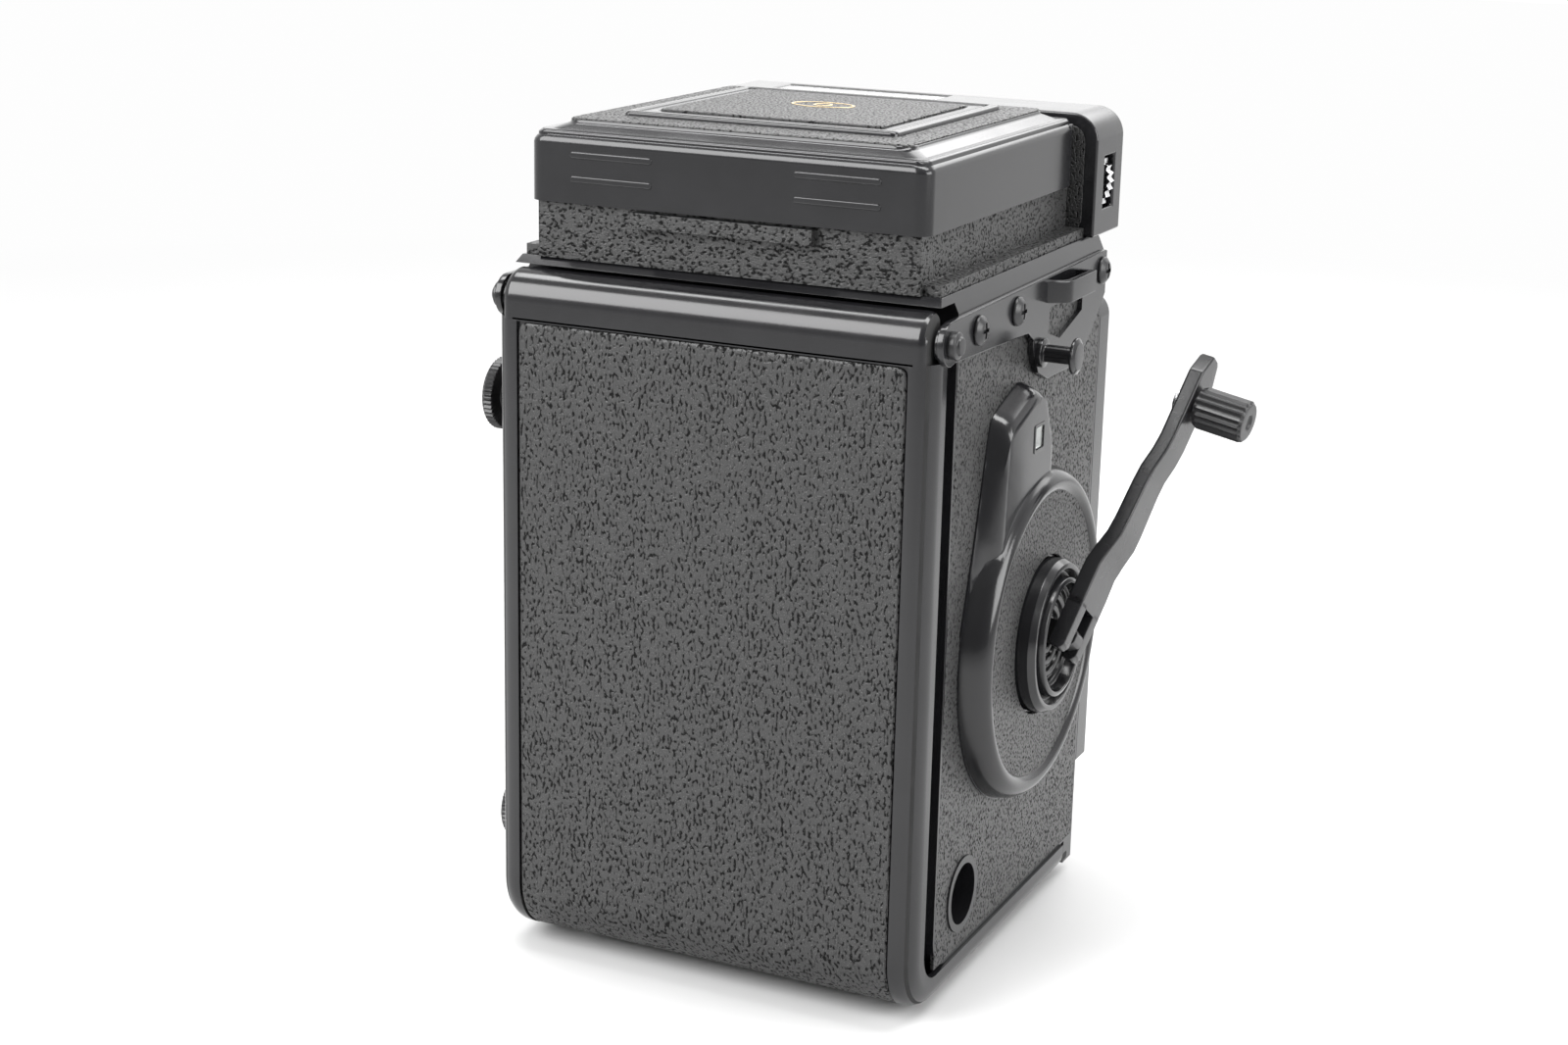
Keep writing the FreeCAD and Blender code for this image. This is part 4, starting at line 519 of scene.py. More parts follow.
def swept(stations):
    """Closed sections of equal length carried along a path of (y, z, ny, nz), and capped."""
    loops = [[Vector((x, y - ny * inset, z - nz * inset)) for x, inset in section]
             for (y, z, ny, nz), section in stations]
    return loft(loops, cap_ends=True)


def back_door():
    """The door's shell: one channel round the corner, a roll along its top and a leather seat."""
    flat = rim_section(39.0, 5.3, 3.6, 1.2)
    seat = rim_section(39.0, 5.3, 3.6, 1.2, SEAT_DEPTH)
    bend = door_path()
    front = [((-34.0, 0.0, 0.0, -1.0), flat), ((-30.1, 0.0, 0.0, -1.0), flat),
             ((-30.0, 0.0, 0.0, -1.0), seat)]
    stations = front + [(place, seat) for place in bend[1:]]
    stations += [((40.0, z, 1.0, 0.0), seat) for z in (11.5, 60.0, SEAT_TOP)]
    stations += [((40.0, z, 1.0, 0.0), flat) for z in (SEAT_TOP + 0.1, SEAT_TOP + 0.6)]
    channel = swept(stations)
    band = rim_section(37.6, 5.3, 1.6, 1.2)
    roll = [((40.0, z, 1.0, 0.0), band) for z in (SEAT_TOP + 0.3, HINGE_Z)]
    for step in range(1, 17):
        angle = math.radians(90 * step / 16)
        roll.append(((HINGE_Y + 5 * math.cos(angle), HINGE_Z + 5 * math.sin(angle),
                      math.cos(angle), math.sin(angle)), band))
    ends = [sided(side, (HINGE_Y, HINGE_Z), [(36.5, 1.05), (36.5, 4.4), (37.5, 4.4), (37.5, 1.05)],
                  0.2) for side in (1, -1)]
    shell = add_piece("door_shell", joined(channel, swept(roll), *ends), [ENAMEL, MATT_BLACK],
                      "door", "back_door", sharp=50)
    for polygon in shell.data.polygons:
        centre, normal = polygon.center / MM, polygon.normal
        inward = centre.y < 39.2 and centre.z > 0.9 and abs(centre.x) < 37.85
        upward = normal.z > 0.3 and centre.z < 20
        if inward and (normal.y < -0.3 or upward or abs(normal.x) > 0.5):
            polygon.material_index = 1
    subtract(shell, rod("z", (0, 0), 7.6, -1, 3))
    subtract(shell, prism("z", rectangle(-5.3, 5.3, -36, -32.5), (1.4, 3.6), 0))


def door_leather():
    """The covering of the back and floor, in its seat, with its edge turned down."""
    thick = 0.5
    corner = 1.4
    path = [(-29.8 + step, 0.0, 0.0, -1.0) for step in (0.0, 0.25, 0.6, 1.4)]
    path += door_path()[1:]
    path += [(40.0, z, 1.0, 0.0) for z in (11.5, 60.0, 107.9, 109.0, 109.4, 109.65)]
    last = len(path) - 1
    sheet = []
    for index, (y, z, ny, nz) in enumerate(path):
        from_end = min(index, last - index)
        narrower = (corner, corner * 0.45, corner * 0.15, 0.0)[min(from_end, 3)]
        lift = (0.3, 0.12, 0.1, 0.1)[min(from_end, 3)]
        half = SEAT_HALF - 0.25 - narrower
        section = [(-half, thick), (-half, lift + 0.2), (-half + 0.25, lift),
                   (half - 0.25, lift), (half, lift + 0.2), (half, thick)]
        sheet.append([Vector((x, y - ny * inset, z - nz * inset)) for x, inset in section])
    covering = add_piece("door_covering", loft(sheet, cap_ends=True), BACK_LEATHER, "door",
                         "door_leather", sharp=50)
    subtract(covering, rod("z", (0, 0), 7.7, -1, 3))


def door_fittings():
    """Springs, feet, latch and tripod socket."""
    softened("pressure_plate", MATT_BLACK, 0.3)
    coils = [spring((0, height), 2.7, 0.3, 32.75, 38.75, 4) for height in (38.0, 66.0)]
    add_piece("plate_springs", joined(*coils), STEEL, "door", "pressure_plate_springs")
    socket = turned("z", (0, 0), [(4.2, 0), (4.2, 7.5), (0.02, 7.5), (0.02, 3.3), (0.5, 3.0),
                                  (3.6, 3.0), (3.6, 0)], 0.25)
    threads = [torus("z", (0, 0), 3.02, 0.12, 0.8 + 0.8 * turn) for turn in range(4)]
    add_piece("socket_insert", joined(socket, *threads), STEEL, "door", "tripod_socket")
    dial = turned("z", (0, 0), [(-0.25, 7.95), (-0.25, 12.9), (-1.2, 12.9), (-1.38, 12.3),
                                (-1.38, 8.6), (-1.2, 7.95)], 0.2, segments=180,
                  flutes=(60, 0.35, 12.6))
    add_piece("latch_ring", dial, SATIN_BLACK, "latch", "latch_dial")
    marks = [prism("z", rotated_rectangle(10.4, 0, 1.2, 0.25, angle), (-1.42, -1.3), 0)
             for angle in (20, 160)]
    add_piece("latch_marks", joined(*marks), WHITE_PRINT, "latch")
    softened("latch_bolt", STEEL, 0.25)
    studs = [turned("z", (x, y), [(0.1, 0), (0.1, 2.4), (-0.6, 2.4), (-1.2, 1.7), (-1.5, 0)],
                    0.6, segments=40)
             for x, y in ((27, 27), (-27, 27), (27, -26), (-27, -26))]
    add_piece("foot_studs", joined(*studs), CHROME, "door", "feet")


def rotated_rectangle(u, v, half_u, half_v, degrees, centre=(0, 0)):
    """A rectangle about (u, v) from a centre, turned about that centre."""
    angle = math.radians(degrees)
    corners = rectangle(u - half_u, u + half_u, v - half_v, v + half_v)
    return [(centre[0] + (a * math.cos(angle) - b * math.sin(angle)),
             centre[1] + (a * math.sin(angle) + b * math.cos(angle))) for a, b in corners]


def torus(axis, centre, radius, thick, along):
    """A thin ring."""
    ring = []
    for step in range(8):
        angle = math.pi * step / 4
        ring.append((along + thick * math.cos(angle), radius + thick * math.sin(angle)))
    return lathe(axis, centre, ring + [ring[0]], segments=64)


def spring(centre, radius, wire, low, high, turns):
    """A coil spring along Y."""
    steps = 24 * turns
    loops = []
    for step in range(steps + 1):
        angle = 2 * math.pi * step / 24
        along = low + wire + (high - low - 2 * wire) * step / steps
        middle = Vector((centre[0] + radius * math.cos(angle), along,
                         centre[1] + radius * math.sin(angle)))
        outward = Vector((math.cos(angle), 0, math.sin(angle)))
        loops.append([middle + outward * wire * math.cos(math.pi * k / 3)
                      + Vector((0, wire * math.sin(math.pi * k / 3), 0)) for k in range(6)])
    return loft(loops, cap_ends=True)


# ------------------------------------------------------------------ body

def inside_body(centre, normal):
    """Faces of the film, exposure and mirror chambers."""
    return abs(centre.x) < 34.2 and -38.6 < centre.y < 29.4 and 5.5 < centre.z < DECK - 0.2


def body():
    """Casting, side leathers, gear plate, drive parts, mirror, screen, spools and rollers."""
    softened("body_casting", ENAMEL, 0.3, 2, MATT_BLACK, inside_body)
    # Painted shade: a thin matt black sheet laid on the side near the bottom front corner, standing
    # in for the shaded opening of a slot.
    slot = prism("x", rounded(rectangle(-37.7, -34.2, 1.5, 2.8), 0.6), (-38.53, -38.3), 0)
    add_piece("painted_slot_shade", slot, MATT_BLACK, "camera")
    softened("side_leather_left", SIDE_LEATHER, 0.12)
    bm = node_mesh("side_leather_right")
    bevel_edges(bm, 0.12)
    add_piece("side_covering", bm, SIDE_LEATHER, "camera", "side_leather_right")
    for node in ("gear_plate", "battery", "takeup_drive"):
        softened(node, STEEL, 0.1)
    softened("wind_gear", BRASS, 0.08)
    softened("reflex_mirror", MIRROR, 0.15)
    softened("focusing_screen", SCREEN_GLASS, 0.1)
    for node in ("takeup_spool", "supply_spool"):
        softened(node, PLASTIC, 0.2)
    for node in ("film_roller_lower", "film_roller_upper"):
        softened(node, STEEL, 0.15)


# ------------------------------------------------------------------ crank side

def crank_cover():
    """The stamped cover: a rounded ring, and a tab with wide shoulders for the counter window."""
    segments, ring_steps = 240, 9
    edges = cover_outline(segments)
    inside = [13.2, 14.0, 24.0, 24.5, 24.62, 24.8, 25.1, 25.6, 26.0]
    shares = (0.1, 0.25, 0.4, 0.55, 0.68, 0.78, 0.86, 0.92, 0.96, 0.985, 1.0)
    loops = []
    for step in range(len(inside) + ring_steps + len(shares) + 1):
        loop = []
        for index, edge in enumerate(edges):
            beyond = step - len(inside)
            if beyond < 0:
                radius = inside[step]
            elif beyond < ring_steps:
                radius = RING_CREST + (RING_FOOT - RING_CREST) * beyond / (ring_steps - 1)
            else:
                share = shares[min(beyond - ring_steps, len(shares) - 1)]
                radius = RING_FOOT + (edge - RING_FOOT) * share
            angle = 2 * math.pi * index / segments
            raised = cover_height(radius, edge, math.cos(angle) > 0)
            if beyond == ring_steps + len(shares):
                raised = 0.0
            loop.append(Vector((-BODY_HALF - raised, CRANK_Y + radius * math.cos(angle),
                                CRANK_Z + radius * math.sin(angle))))
        loops.append(loop)
    inner = [Vector((-BODY_HALF - 0.02, point.y, point.z)) for point in loops[0]]
    bm = loft(loops + [inner])
    cover = add_piece("crank_housing", bm, ENAMEL, "camera", "crank_cover", sharp=60)
    subtract(cover, prism("x", window_square(2.0), (-45, -40.8), 0))
    rim = prism("x", rounded(window_square(2.45), 0.5), (-42.25, -41.2), 0.12)
    rim_piece = add_piece("window_rim", rim, ENAMEL, "camera")
    subtract(rim_piece, prism("x", rounded(window_square(1.9), 0.3), (-43, -40), 0))
    pane = prism("x", window_square(1.85), (-42.0, -41.7), 0.05)
    add_piece("window_pane", pane, WINDOW_GLASS, "camera", "counter_window")
    mat = prism("x", window_square(1.98), (-41.6, -40.75), 0)
    mat_piece = add_piece("window_mat", mat, WHITE_PRINT, "camera")
    subtract(mat_piece, prism("x", window_square(1.7), (-43, -40), 0))


def window_square(half):
    """A square in the cover's side, about the middle of the counter's window."""
    y, z = -0.3, 91.4
    return rectangle(y - half, y + half, z - half, z + half)


def cover_height(radius, edge, rearward):
    """Height of the stamping over the body's side, at a distance from the crank's axis."""
    disc, crest, tab_lift, lip = 3.4, 5.0, 3.6, 0.3
    inner_run, roundness = 1.9, 1.9
    front_run, narrow, spread, tab_end, fade, tab_rise = 2.0, 2.2, 3.6, 41.0, 9.0, 4.0
    if radius < RING_CREST:
        inward = min(1.0, (RING_CREST - radius) / inner_run)
        ring = disc + (crest - disc) * math.sqrt(1 - inward ** 2)
    else:
        outward = min(1.0, (radius - RING_CREST) / (RING_FOOT - RING_CREST))
        ring = crest * (1 - outward ** roundness) ** (1 / roundness)
    if edge < RING_FOOT + 0.3:
        return max(ring, lip)
    wide = front_run
    if rearward:
        wide = narrow + spread * min(1.0, max(0.0, (tab_end - edge) / fade))
    shoulder = min(1.0, max(0.0, (edge - radius) / wide))
    share = min(1.0, (edge - RING_FOOT) / tab_rise)
    return max(ring, lip, tab_lift * share * math.sin(shoulder * math.pi / 2))


def cover_outline(segments):
    """The cover's edge as a radius for each direction from the crank's axis."""
    shoulder = [(-4.0, 28.8), (1.6, 43.6), (7.1, 45.4), (19.4, 41.5), (24.9, 20.5), (29.3, 6.6)]
    result = []
    for index in range(segments):
        angle = 2 * math.pi * index / segments
        direction = Vector((math.cos(angle), math.sin(angle)))
        reach = RING_FOOT + 0.1
        for first, second in zip(shoulder, shoulder[1:]):
            hit = ray_hits(direction, Vector(first), Vector(second))
            if hit is not None:
                reach = max(reach, hit)
        result.append(reach)
    for _ in range(2):
        result = [(result[index - 1] + 2 * result[index] + result[(index + 1) % segments]) / 4
                  for index in range(segments)]
    return result


def ray_hits(direction, first, second):
    """Distance from the origin along a direction to a segment, or None."""
    edge = second - first
    scale = direction.x * edge.y - direction.y * edge.x
    if abs(scale) < 1e-9:
        return None
    distance = (first.x * edge.y - first.y * edge.x) / scale
    along = (first.x * direction.y - first.y * direction.x) / scale
    return distance if distance > 0 and -0.001 <= along <= 1.001 else None


def counter():
    """The frame counter's dial, white with plain strokes."""
    centre = (5.2, 85.5)
    add_piece("counter_disc", rod("x", centre, 9.5, -39.4, -40.35, 0.1), WHITE_PRINT, "counter",
              "counter_dial")
    strokes = [prism("x", rotated_rectangle(7.6, 0, 0.9, 0.3, 30 * number + 128, centre),
                     (-40.45, -40.2), 0) for number in range(12)]
    add_piece("counter_strokes", joined(*strokes), MATT_BLACK, "counter")


def crank_matrix():
    """From the arm's own frame, Z along the arm and Y along the fold pin, to the row frame."""
    return (Matrix.Translation((FOLD_X, CRANK_Y, CRANK_Z))
            @ Matrix.Rotation(math.radians(ARM_TURN), 4, "X")
            @ Matrix.Rotation(math.radians(-ARM_LEAN), 4, "Y"))


def crank():
    """Hub cup with turned grooves, folding arm and grooved knob."""
    centre = (CRANK_Y, CRANK_Z)
    base = -42.6
    profile = [(-41.9, 0), (-41.9, 13.4), (base - 2.2, 13.4), (base - 3.3, 12.7),
               (base - 3.3, 11.9), (base - 1.7, 11.3), (base - 1.7, 10.7), (base - 3.8, 10.3),
               (base - 4.1, 9.5), (base - 2.0, 9.0)]
    for groove in range(4):
        radius = 8.2 - 1.9 * groove
        depth = base - 1.9 + 0.35 * groove
        profile += [(depth, radius), (depth + 0.75, radius - 0.25), (depth + 0.75, radius - 0.75),
                    (depth + 0.1, radius - 1.0)]
    profile.append((base - 0.7, 0))
    cup = turned("x", centre, profile, 0.25, segments=128)
    add_piece("hub_cup", cup, ENAMEL, "crank", "crank_hub")
    add_piece("hub_shaft", rod("x", centre, 2.95, -42.0, -33, 0.2), STEEL, "crank")
    local = crank_matrix()
    lug = prism("y", [(-v, u) for u, v in rounded([(-1.9, -4.6), (1.9, -4.6), (1.9, 0.2),
                                                   (0.9, 1.7), (-0.9, 1.7), (-1.9, 0.2)], 0.9)],
                (-2.0, 2.0), 0.25)
    add_piece("hub_lug", lug, SATIN_BLACK, "crank", at=local)
    pin = rod("y", (0, 0), 0.8, -5.4, 5.4, 0.15, segments=24)
    add_piece("fold_pin", pin, CHROME, "crank", at=local)
    crank_arm(local)
    grip_profile = [(-4.2, 0), (-4.2, 3.3), (-5.0, 3.75), (-13.0, 3.75), (-13.55, 3.2),
                    (-13.6, 1.4), (-13.2, 1.2), (-13.2, 0)]
    grip = turned("x", (0, ARM_LONG), grip_profile, 0.3, segments=144, flutes=(18, 0.42, 3.5))
    axle = turned("x", (0, ARM_LONG), [(-0.05, 0), (-0.05, 2.3), (-0.7, 2.3), (-0.7, 1.45),
                                       (-5, 1.45), (-5, 0)], 0.12, segments=40)
    add_piece("knob_grip", grip, PLASTIC, "knob", "crank_knob", at=local)
    add_piece("knob_axle", axle, STEEL, "knob", at=local)


def arm_stations():
    """(along, outward offset, half width, half thickness) of the arm from root to tip."""
    return [(5.2, 0.0, 5.5, 1.45), (9.0, 0.0, 5.5, 1.45), (13.0, 0.05, 5.3, 1.42),
            (16.0, -0.5, 5.1, 1.4), (19.0, -1.2, 4.9, 1.38), (22.0, -1.35, 4.7, 1.35),
            (29.0, -1.35, 4.2, 1.35), (32.0, -1.5, 4.05, 1.35), (35.5, -2.15, 3.95, 1.35),
            (38.5, -2.4, 3.9, 1.35), (44.0, -2.4, 3.9, 1.35), (50.6, -2.4, 3.9, 1.35),
            (51.3, -2.4, 3.7, 1.35), (54.3, -2.4, 2.0, 1.33), (54.8, -2.4, 1.6, 1.2)]


def crank_arm(local):
    """The flat arm: stepped outward, tapering, forked at its root."""
    loops = []
    for along, offset, half, thick in arm_stations():
        section = rounded(rectangle(-half, half, offset - thick, offset + thick), 0.45, 3)
        loops.append([Vector((point[1], point[0], along)) for point in section])
    blade = loft(loops, cap_ends=True)
    tines = []
    for low, high in ((2.3, 5.5), (-5.5, -2.3)):
        side = rounded([(-1.45, 6.5), (1.45, 6.5), (1.45, -2.2), (0.8, -3.15), (-0.8, -3.15),
                        (-1.45, -2.2)], 0.8)
        tines.append(prism("y", side, (low, high), 0.3))
    add_piece("arm_blade", joined(blade, *tines), ARM_BLACK, "arm", "crank_arm", at=local)


# ------------------------------------------------------------------ hood

def hood():
    """Hood base, stamped cover, leather ring, flap with its emblem, leaves and magnifier."""
    def outside(centre, normal):
        facing = normal.x * centre.x > 0.5 or normal.y * (centre.y - 1) > 0.5
        on_strip = abs(centre.x) > 33.9 and centre.z < 122
        return (facing and max(abs(centre.x) - 33.0, abs(centre.y - 1.1) - 32.2) > 0) or on_strip
    softened("hood_base", SATIN_BLACK, 0.3, 2, HOOD_LEATHER, outside)
    hood_cover()
    for node in ("hood_leaf_rear", "hood_wing_left", "hood_wing_right", "magnifier_frame"):
        softened(node, SATIN_BLACK, 0.12)
    lens = turned("z", (0, 16), [(138.55, 0), (138.9, 9.9), (139.7, 9.9), (140.05, 0)], 0.2)
    add_piece("magnifier_glass", lens, WINDOW_GLASS, "magnifier", "magnifier_lens")


def hood_cover():
    """The cover's shell in one loft, from its skirt over the rolled edge to the flap's opening."""
    def level(half, front, rear, z, radius):
        loop = rounded_rectangle(half, front, rear, z, radius)
        limit = 137.2
        return [Vector((p.x, p.y, max(p.z, limit))) if p.y < -30.6 else p for p in loop]
    profile = ((0.0, 129.15), (0.0, 133.0), (0.0, 138.6), (0.1, 139.1), (0.4, 139.6),
               (0.95, 140.0), (1.8, 140.45), (3.0, 141.0), (4.2, 141.5), (4.55, 141.65),
               (4.65, 141.95), (4.8, 142.15), (4.95, 142.15), (5.0, 141.9))
    loops = [level(35.1 - inset, -31.7 + 0.8 * inset, 35.2 - 0.8 * inset, z, 2.5 + 0.1 * inset)
             for inset, z in profile]
    frame_steps = ((24.35, 141.9), (24.35, 142.7), (24.15, 143.0), (23.8, 143.15), (23.1, 143.15),
                   (22.8, 143.0), (22.7, 142.7), (22.7, 140.7))
    loops += square_loops(frame_steps, 1.6, 1.2, 1.2)
    loops.append(level(33.9, -31.2, 34.0, 140.7, 2.0))
    loops.append(level(34.4, -31.5, 34.5, 140.2, 2.0))
    loops.append(level(34.4, -31.5, 34.5, 129.15, 2.0))
    shell = loft(loops)
    ridges = []
    for middle in (-19.85, 19.85):
        for height in (137.0, 133.1):
            outline = rounded(rectangle(middle - 7.4, middle + 7.4, height - 0.55, height + 0.55),
                              0.5, 4)
            ridges.append(prism("y", outline, (34.9, 35.45), 0.25, 3))
    add_piece("cover_stamping", joined(shell, *ridges), ENAMEL, "hood_lid", "hood_cover", sharp=50)
    outer = square_loops(((29.95, 141.85), (29.95, 142.25), (29.75, 142.4)), 2.3, -1.1, 1.3)
    inner = square_loops(((24.65, 142.4), (24.45, 142.25), (24.45, 141.85)), 1.6, 1.2, 1.3)
    add_piece("cover_ring", loft(outer + inner), SIDE_LEATHER, "hood_lid", "hood_cover_leather")
    plate = square_loops(((22.45, 142.25), (22.45, 142.75), (22.2, 142.95), (20.4, 142.95),
                          (20.2, 142.75), (20.2, 142.6)), 2.0, 1.3, 1.0)
    add_piece("flap_plate", loft(plate, cap_ends=True), ENAMEL, "flap", "finder_flap")
    pad = square_loops(((20.0, 142.6), (20.0, 143.15), (19.8, 143.3)), 2.0, 1.3, 0.9)
    add_piece("flap_covering", loft(pad, cap_ends=True), SIDE_LEATHER, "flap")
    emblem()


def square_loops(steps, front, rear, radius):
    """A rounded square for each (half width, height), drawn in at its front and rear."""
    return [rounded_rectangle(half, -half + front, half - rear, z, radius) for half, z in steps]


def emblem():
    """A plain gold badge: an oval line round a small ring."""
    def oval_ring(half_x, half_y, width, y):
        loops = []
        for grow, z in ((0, 143.2), (0, 143.36), (-width * 0.3, 143.4), (-width * 0.7, 143.4),
                        (-width, 143.36), (-width, 143.2)):
            loops.append([Vector(((half_x + grow) * math.cos(a), y + (half_y + grow) * math.sin(a),
                                  z)) for a in [2 * math.pi * k / 72 for k in range(72)]])
        return loft(loops)
    add_piece("badge", joined(oval_ring(5.7, 3.6, 0.45, -2.5), oval_ring(1.7, 1.7, 0.5, -2.5)),
              GOLD, "flap")


# ------------------------------------------------------------------ meter housing

def meter():
    """Meter housing with its rear covering, window, needle, film speed dial and battery cover."""
    softened("meter_housing", ENAMEL, 0.5, 3)
    rear = prism("y", rounded([(-36.2, 120.2), (36.2, 120.2), (36.2, 139.3), (-36.2, 139.3)], 3.2),
                 (-33.5, -33.2), 0.1)
    add_piece("meter_rear_covering", rear, SIDE_LEATHER, "camera")
    softened("meter_window", WINDOW_GLASS, 0.15)
    softened("meter_needle", STEEL, 0.08)
    dial = rod("y", (-32.3, 129.0), 6.85, -41.85, -39.75, 0.2, segments=180, flutes=(30, 0.55, 6.3))
    add_piece("film_speed_disc", dial, CHROME, "film_speed", "film_speed_dial")
    softened("battery_cover", SATIN_BLACK, 0.15)


# ------------------------------------------------------------------ lens board

def lens_board():
    """Front plate, its covering, lens barrels, glasses, blades, wheels and levers."""
    softened("lens_board", ENAMEL, 0.3)
    sheet = prism("y", rounded(rectangle(-36.2, 36.2, 22.0, 106.3), 3.0), (-45.75, -45.4), 0.12)
    covering = add_piece("front_covering", sheet, SIDE_LEATHER, "front")
    for centre, radius in (((0, LENS_LOW), 19.0), ((0, LENS_HIGH), 18.0), ((21, 73), 8.6),
                           ((-21, 73), 8.6), ((21, 36), 4.4)):
        subtract(covering, rod("y", centre, radius, -47, -44))
    for name, height, reach in (("taking", LENS_LOW, -61.0), ("viewing", LENS_HIGH, -60.0)):
        profile = [(-36.6, 11.3), (-36.6, 12.8), (-45.5, 12.8), (-45.5, 16.7), (-49.6, 16.7),
                   (-50.2, 16.2), (-50.8, 15.2), (-56.0, 15.2), (-56.3, 14.8), (-57.0, 14.8),
                   (-57.3, 15.2), (reach + 0.6, 15.2), (reach, 14.6), (reach, 13.0),
                   (reach + 1.6, 12.6), (-56.5, 12.2), (-56.5, 11.8), (-54.5, 11.4),
                   (-54.5, 11.0), (-50.1, 11.0), (-50.1, 10.3), (-40.1, 10.3), (-40.1, 11.3)]
        barrel = turned("y", (0, height), profile, 0.18, segments=128)
        add_piece(name + "_barrel", barrel, SATIN_BLACK, "front", name + "_lens_barrel")
        trim = turned("y", (0, height), [(-45.6, 16.9), (-45.6, 18.4), (-46.3, 18.1),
                                         (-46.5, 16.9)], 0.2, segments=128)
        add_piece(name + "_trim", trim, CHROME, "front")
    glasses = []
    for height in (LENS_LOW, LENS_HIGH):
        glasses.append(turned("y", (0, height), [(-50.2, 0), (-50.2, 10.95), (-53.0, 10.95),
                                                 (-54.3, 8.4), (-55.2, 5.2), (-55.6, 0)], 1.5))
        glasses.append(turned("y", (0, height), [(-40.5, 0), (-40.5, 10.1), (-42.0, 10.1),
                                                 (-42.8, 5.0), (-43.0, 0)], 0.8))
    add_piece("lens_set", joined(*glasses), LENS_GLASS, "front", "lens_glasses")
    softened("shutter_and_iris", STEEL, 0.05)
    for name, x, body_name in (("aperture_wheel", 21, "aperture"),
                               ("shutter_wheel", -21, "shutter")):
        wheel = turned("y", (x, 73), [(-42.2, 0), (-42.2, 1.5), (-45.9, 1.5), (-45.9, 6.9),
                                      (-49.0, 6.9), (-49.6, 6.2), (-49.6, 3.2), (-49.2, 2.8),
                                      (-49.2, 0)], 0.25, segments=160, flutes=(32, 0.45, 6.5))
        add_piece(name + "_knurled", wheel, PLASTIC, body_name, name)
        cap = turned("y", (x, 73), [(-49.1, 0), (-49.1, 2.6), (-49.5, 2.4), (-49.65, 0)], 0.2)
        add_piece(name + "_cap", cap, CHROME, body_name)
    softened("self_timer_lever", CHROME, 0.35)
    ring = turned("y", (-28, 13.2), [(-40.3, 3.95), (-40.3, 6.0), (-45.6, 6.0), (-46.4, 5.3),
                                     (-46.4, 4.2), (-46.0, 3.95)], 0.3, segments=120,
                  flutes=(24, 0.3, 5.8))
    add_piece("lock_collar", ring, SATIN_BLACK, "collar", "release_collar")
    dot = turned("y", (-28, 18.3), [(-46.35, 0), (-46.35, 0.45), (-46.48, 0.4), (-46.48, 0)], 0.05)
    add_piece("lock_dot", dot, RED_PRINT, "collar")
    button = turned("y", (-28, 13.2), [(-36, 0), (-36, 2.2), (-44.5, 2.2), (-44.5, 3.65),
                                       (-49.4, 3.65), (-49.9, 3.0), (-49.75, 1.8), (-49.0, 1.4),
                                       (-46.0, 1.4), (-46.0, 0)], 0.25)
    add_piece("release_plunger", button, CHROME, "button", "release_button")


# ------------------------------------------------------------------ left side and lugs

def left_side():
    """Focusing knob, spool knobs, accessory shoe and flash socket."""
    centre = (-14.0, 61.0)
    knob = turned("x", centre, [(31.5, 0), (31.5, 2.45), (39.1, 2.45), (39.1, 15.0), (39.8, 15.4),
                                (47.6, 15.4), (48.2, 14.8), (48.6, 13.2), (50.2, 12.6),
                                (50.4, 11.8), (50.4, 10.6), (49.8, 10.2), (49.8, 0)], 0.35,
                  segments=240, flutes=(60, 0.4, 15.1))
    add_piece("focus_grip", knob, SATIN_BLACK, "focus", "focus_knob")
    face = turned("x", centre, [(49.7, 0), (49.7, 10.1), (50.1, 9.9), (50.15, 0)], 0.15)
    add_piece("focus_face", face, STEEL, "focus")
    ticks = []
    for number in range(24):
        long = 1.3 if number % 4 == 0 else 0.7
        outline = rotated_rectangle(11.3, 0, long * 0.5, 0.12, 15 * number, centre)
        ticks.append(prism("x", outline, (50.3, 50.48), 0))
    add_piece("focus_ticks", joined(*ticks), WHITE_PRINT, "focus")
    for name, y, z, body_name in (("takeup_knob", 22.5, 93.0, "takeup_pull"),
                                  ("supply_knob", 17.4, 15.4, "supply_pull")):
        knob = turned("x", (y, z), [(31, 0), (31, 2.0), (39.05, 2.0), (39.05, 4.0), (46.4, 3.6),
                                    (46.6, 6.3), (48.3, 6.3), (48.6, 5.8), (48.4, 4.6),
                                    (48.2, 0)], 0.3, segments=200, flutes=(50, 0.35, 6.0))
        add_piece(name + "_knurled", knob, SATIN_BLACK, body_name, name)
    softened("accessory_shoe", SATIN_BLACK, 0.25)
    socket = turned("x", (-31, 13), [(36.6, 0), (36.6, 3.95), (42.0, 3.95), (42.45, 3.5),
                                     (42.45, 2.7), (42.1, 2.4), (38.0, 2.4), (38.0, 0.7),
                                     (41.0, 0.6), (41.2, 0)], 0.2)
    add_piece("flash_socket", socket, CHROME, "camera", "sync_socket")


def lug_plate(side):
    """A lug plate and its raised bridge, on one side."""
    outline = [(-38.5, 117.2), (-38.5, 109.5), (-32.0, 103.5), (-24.0, 99.2), (-10.0, 99.2),
               (-5.0, 101.2), (-2.4, 105.0), (-2.3, 107.0), (0.6, 108.8), (33.0, 109.9)]
    for step in range(13):
        angle = math.radians(-90 + 15 * step)
        outline.append((HINGE_Y + 3.55 * math.cos(angle), HINGE_Z + 0.1 + 3.55 * math.sin(angle)))
    plate = prism("x", outline, sorted((side * BODY_HALF, side * 39.68)), 0.22)
    path = [(-7.4, 39.2), (-9.6, 42.4), (-11.2, 43.1), (-23.0, 43.1), (-23.0, 38.6), (-21.7, 38.6),
            (-21.7, 41.8), (-11.6, 41.8), (-10.4, 41.2), (-9.2, 38.6), (-7.4, 38.6)]
    bridge = prism("z", [(side * x, y) for y, x in path], (112.55, 116.25), 0.2)
    return plate, bridge


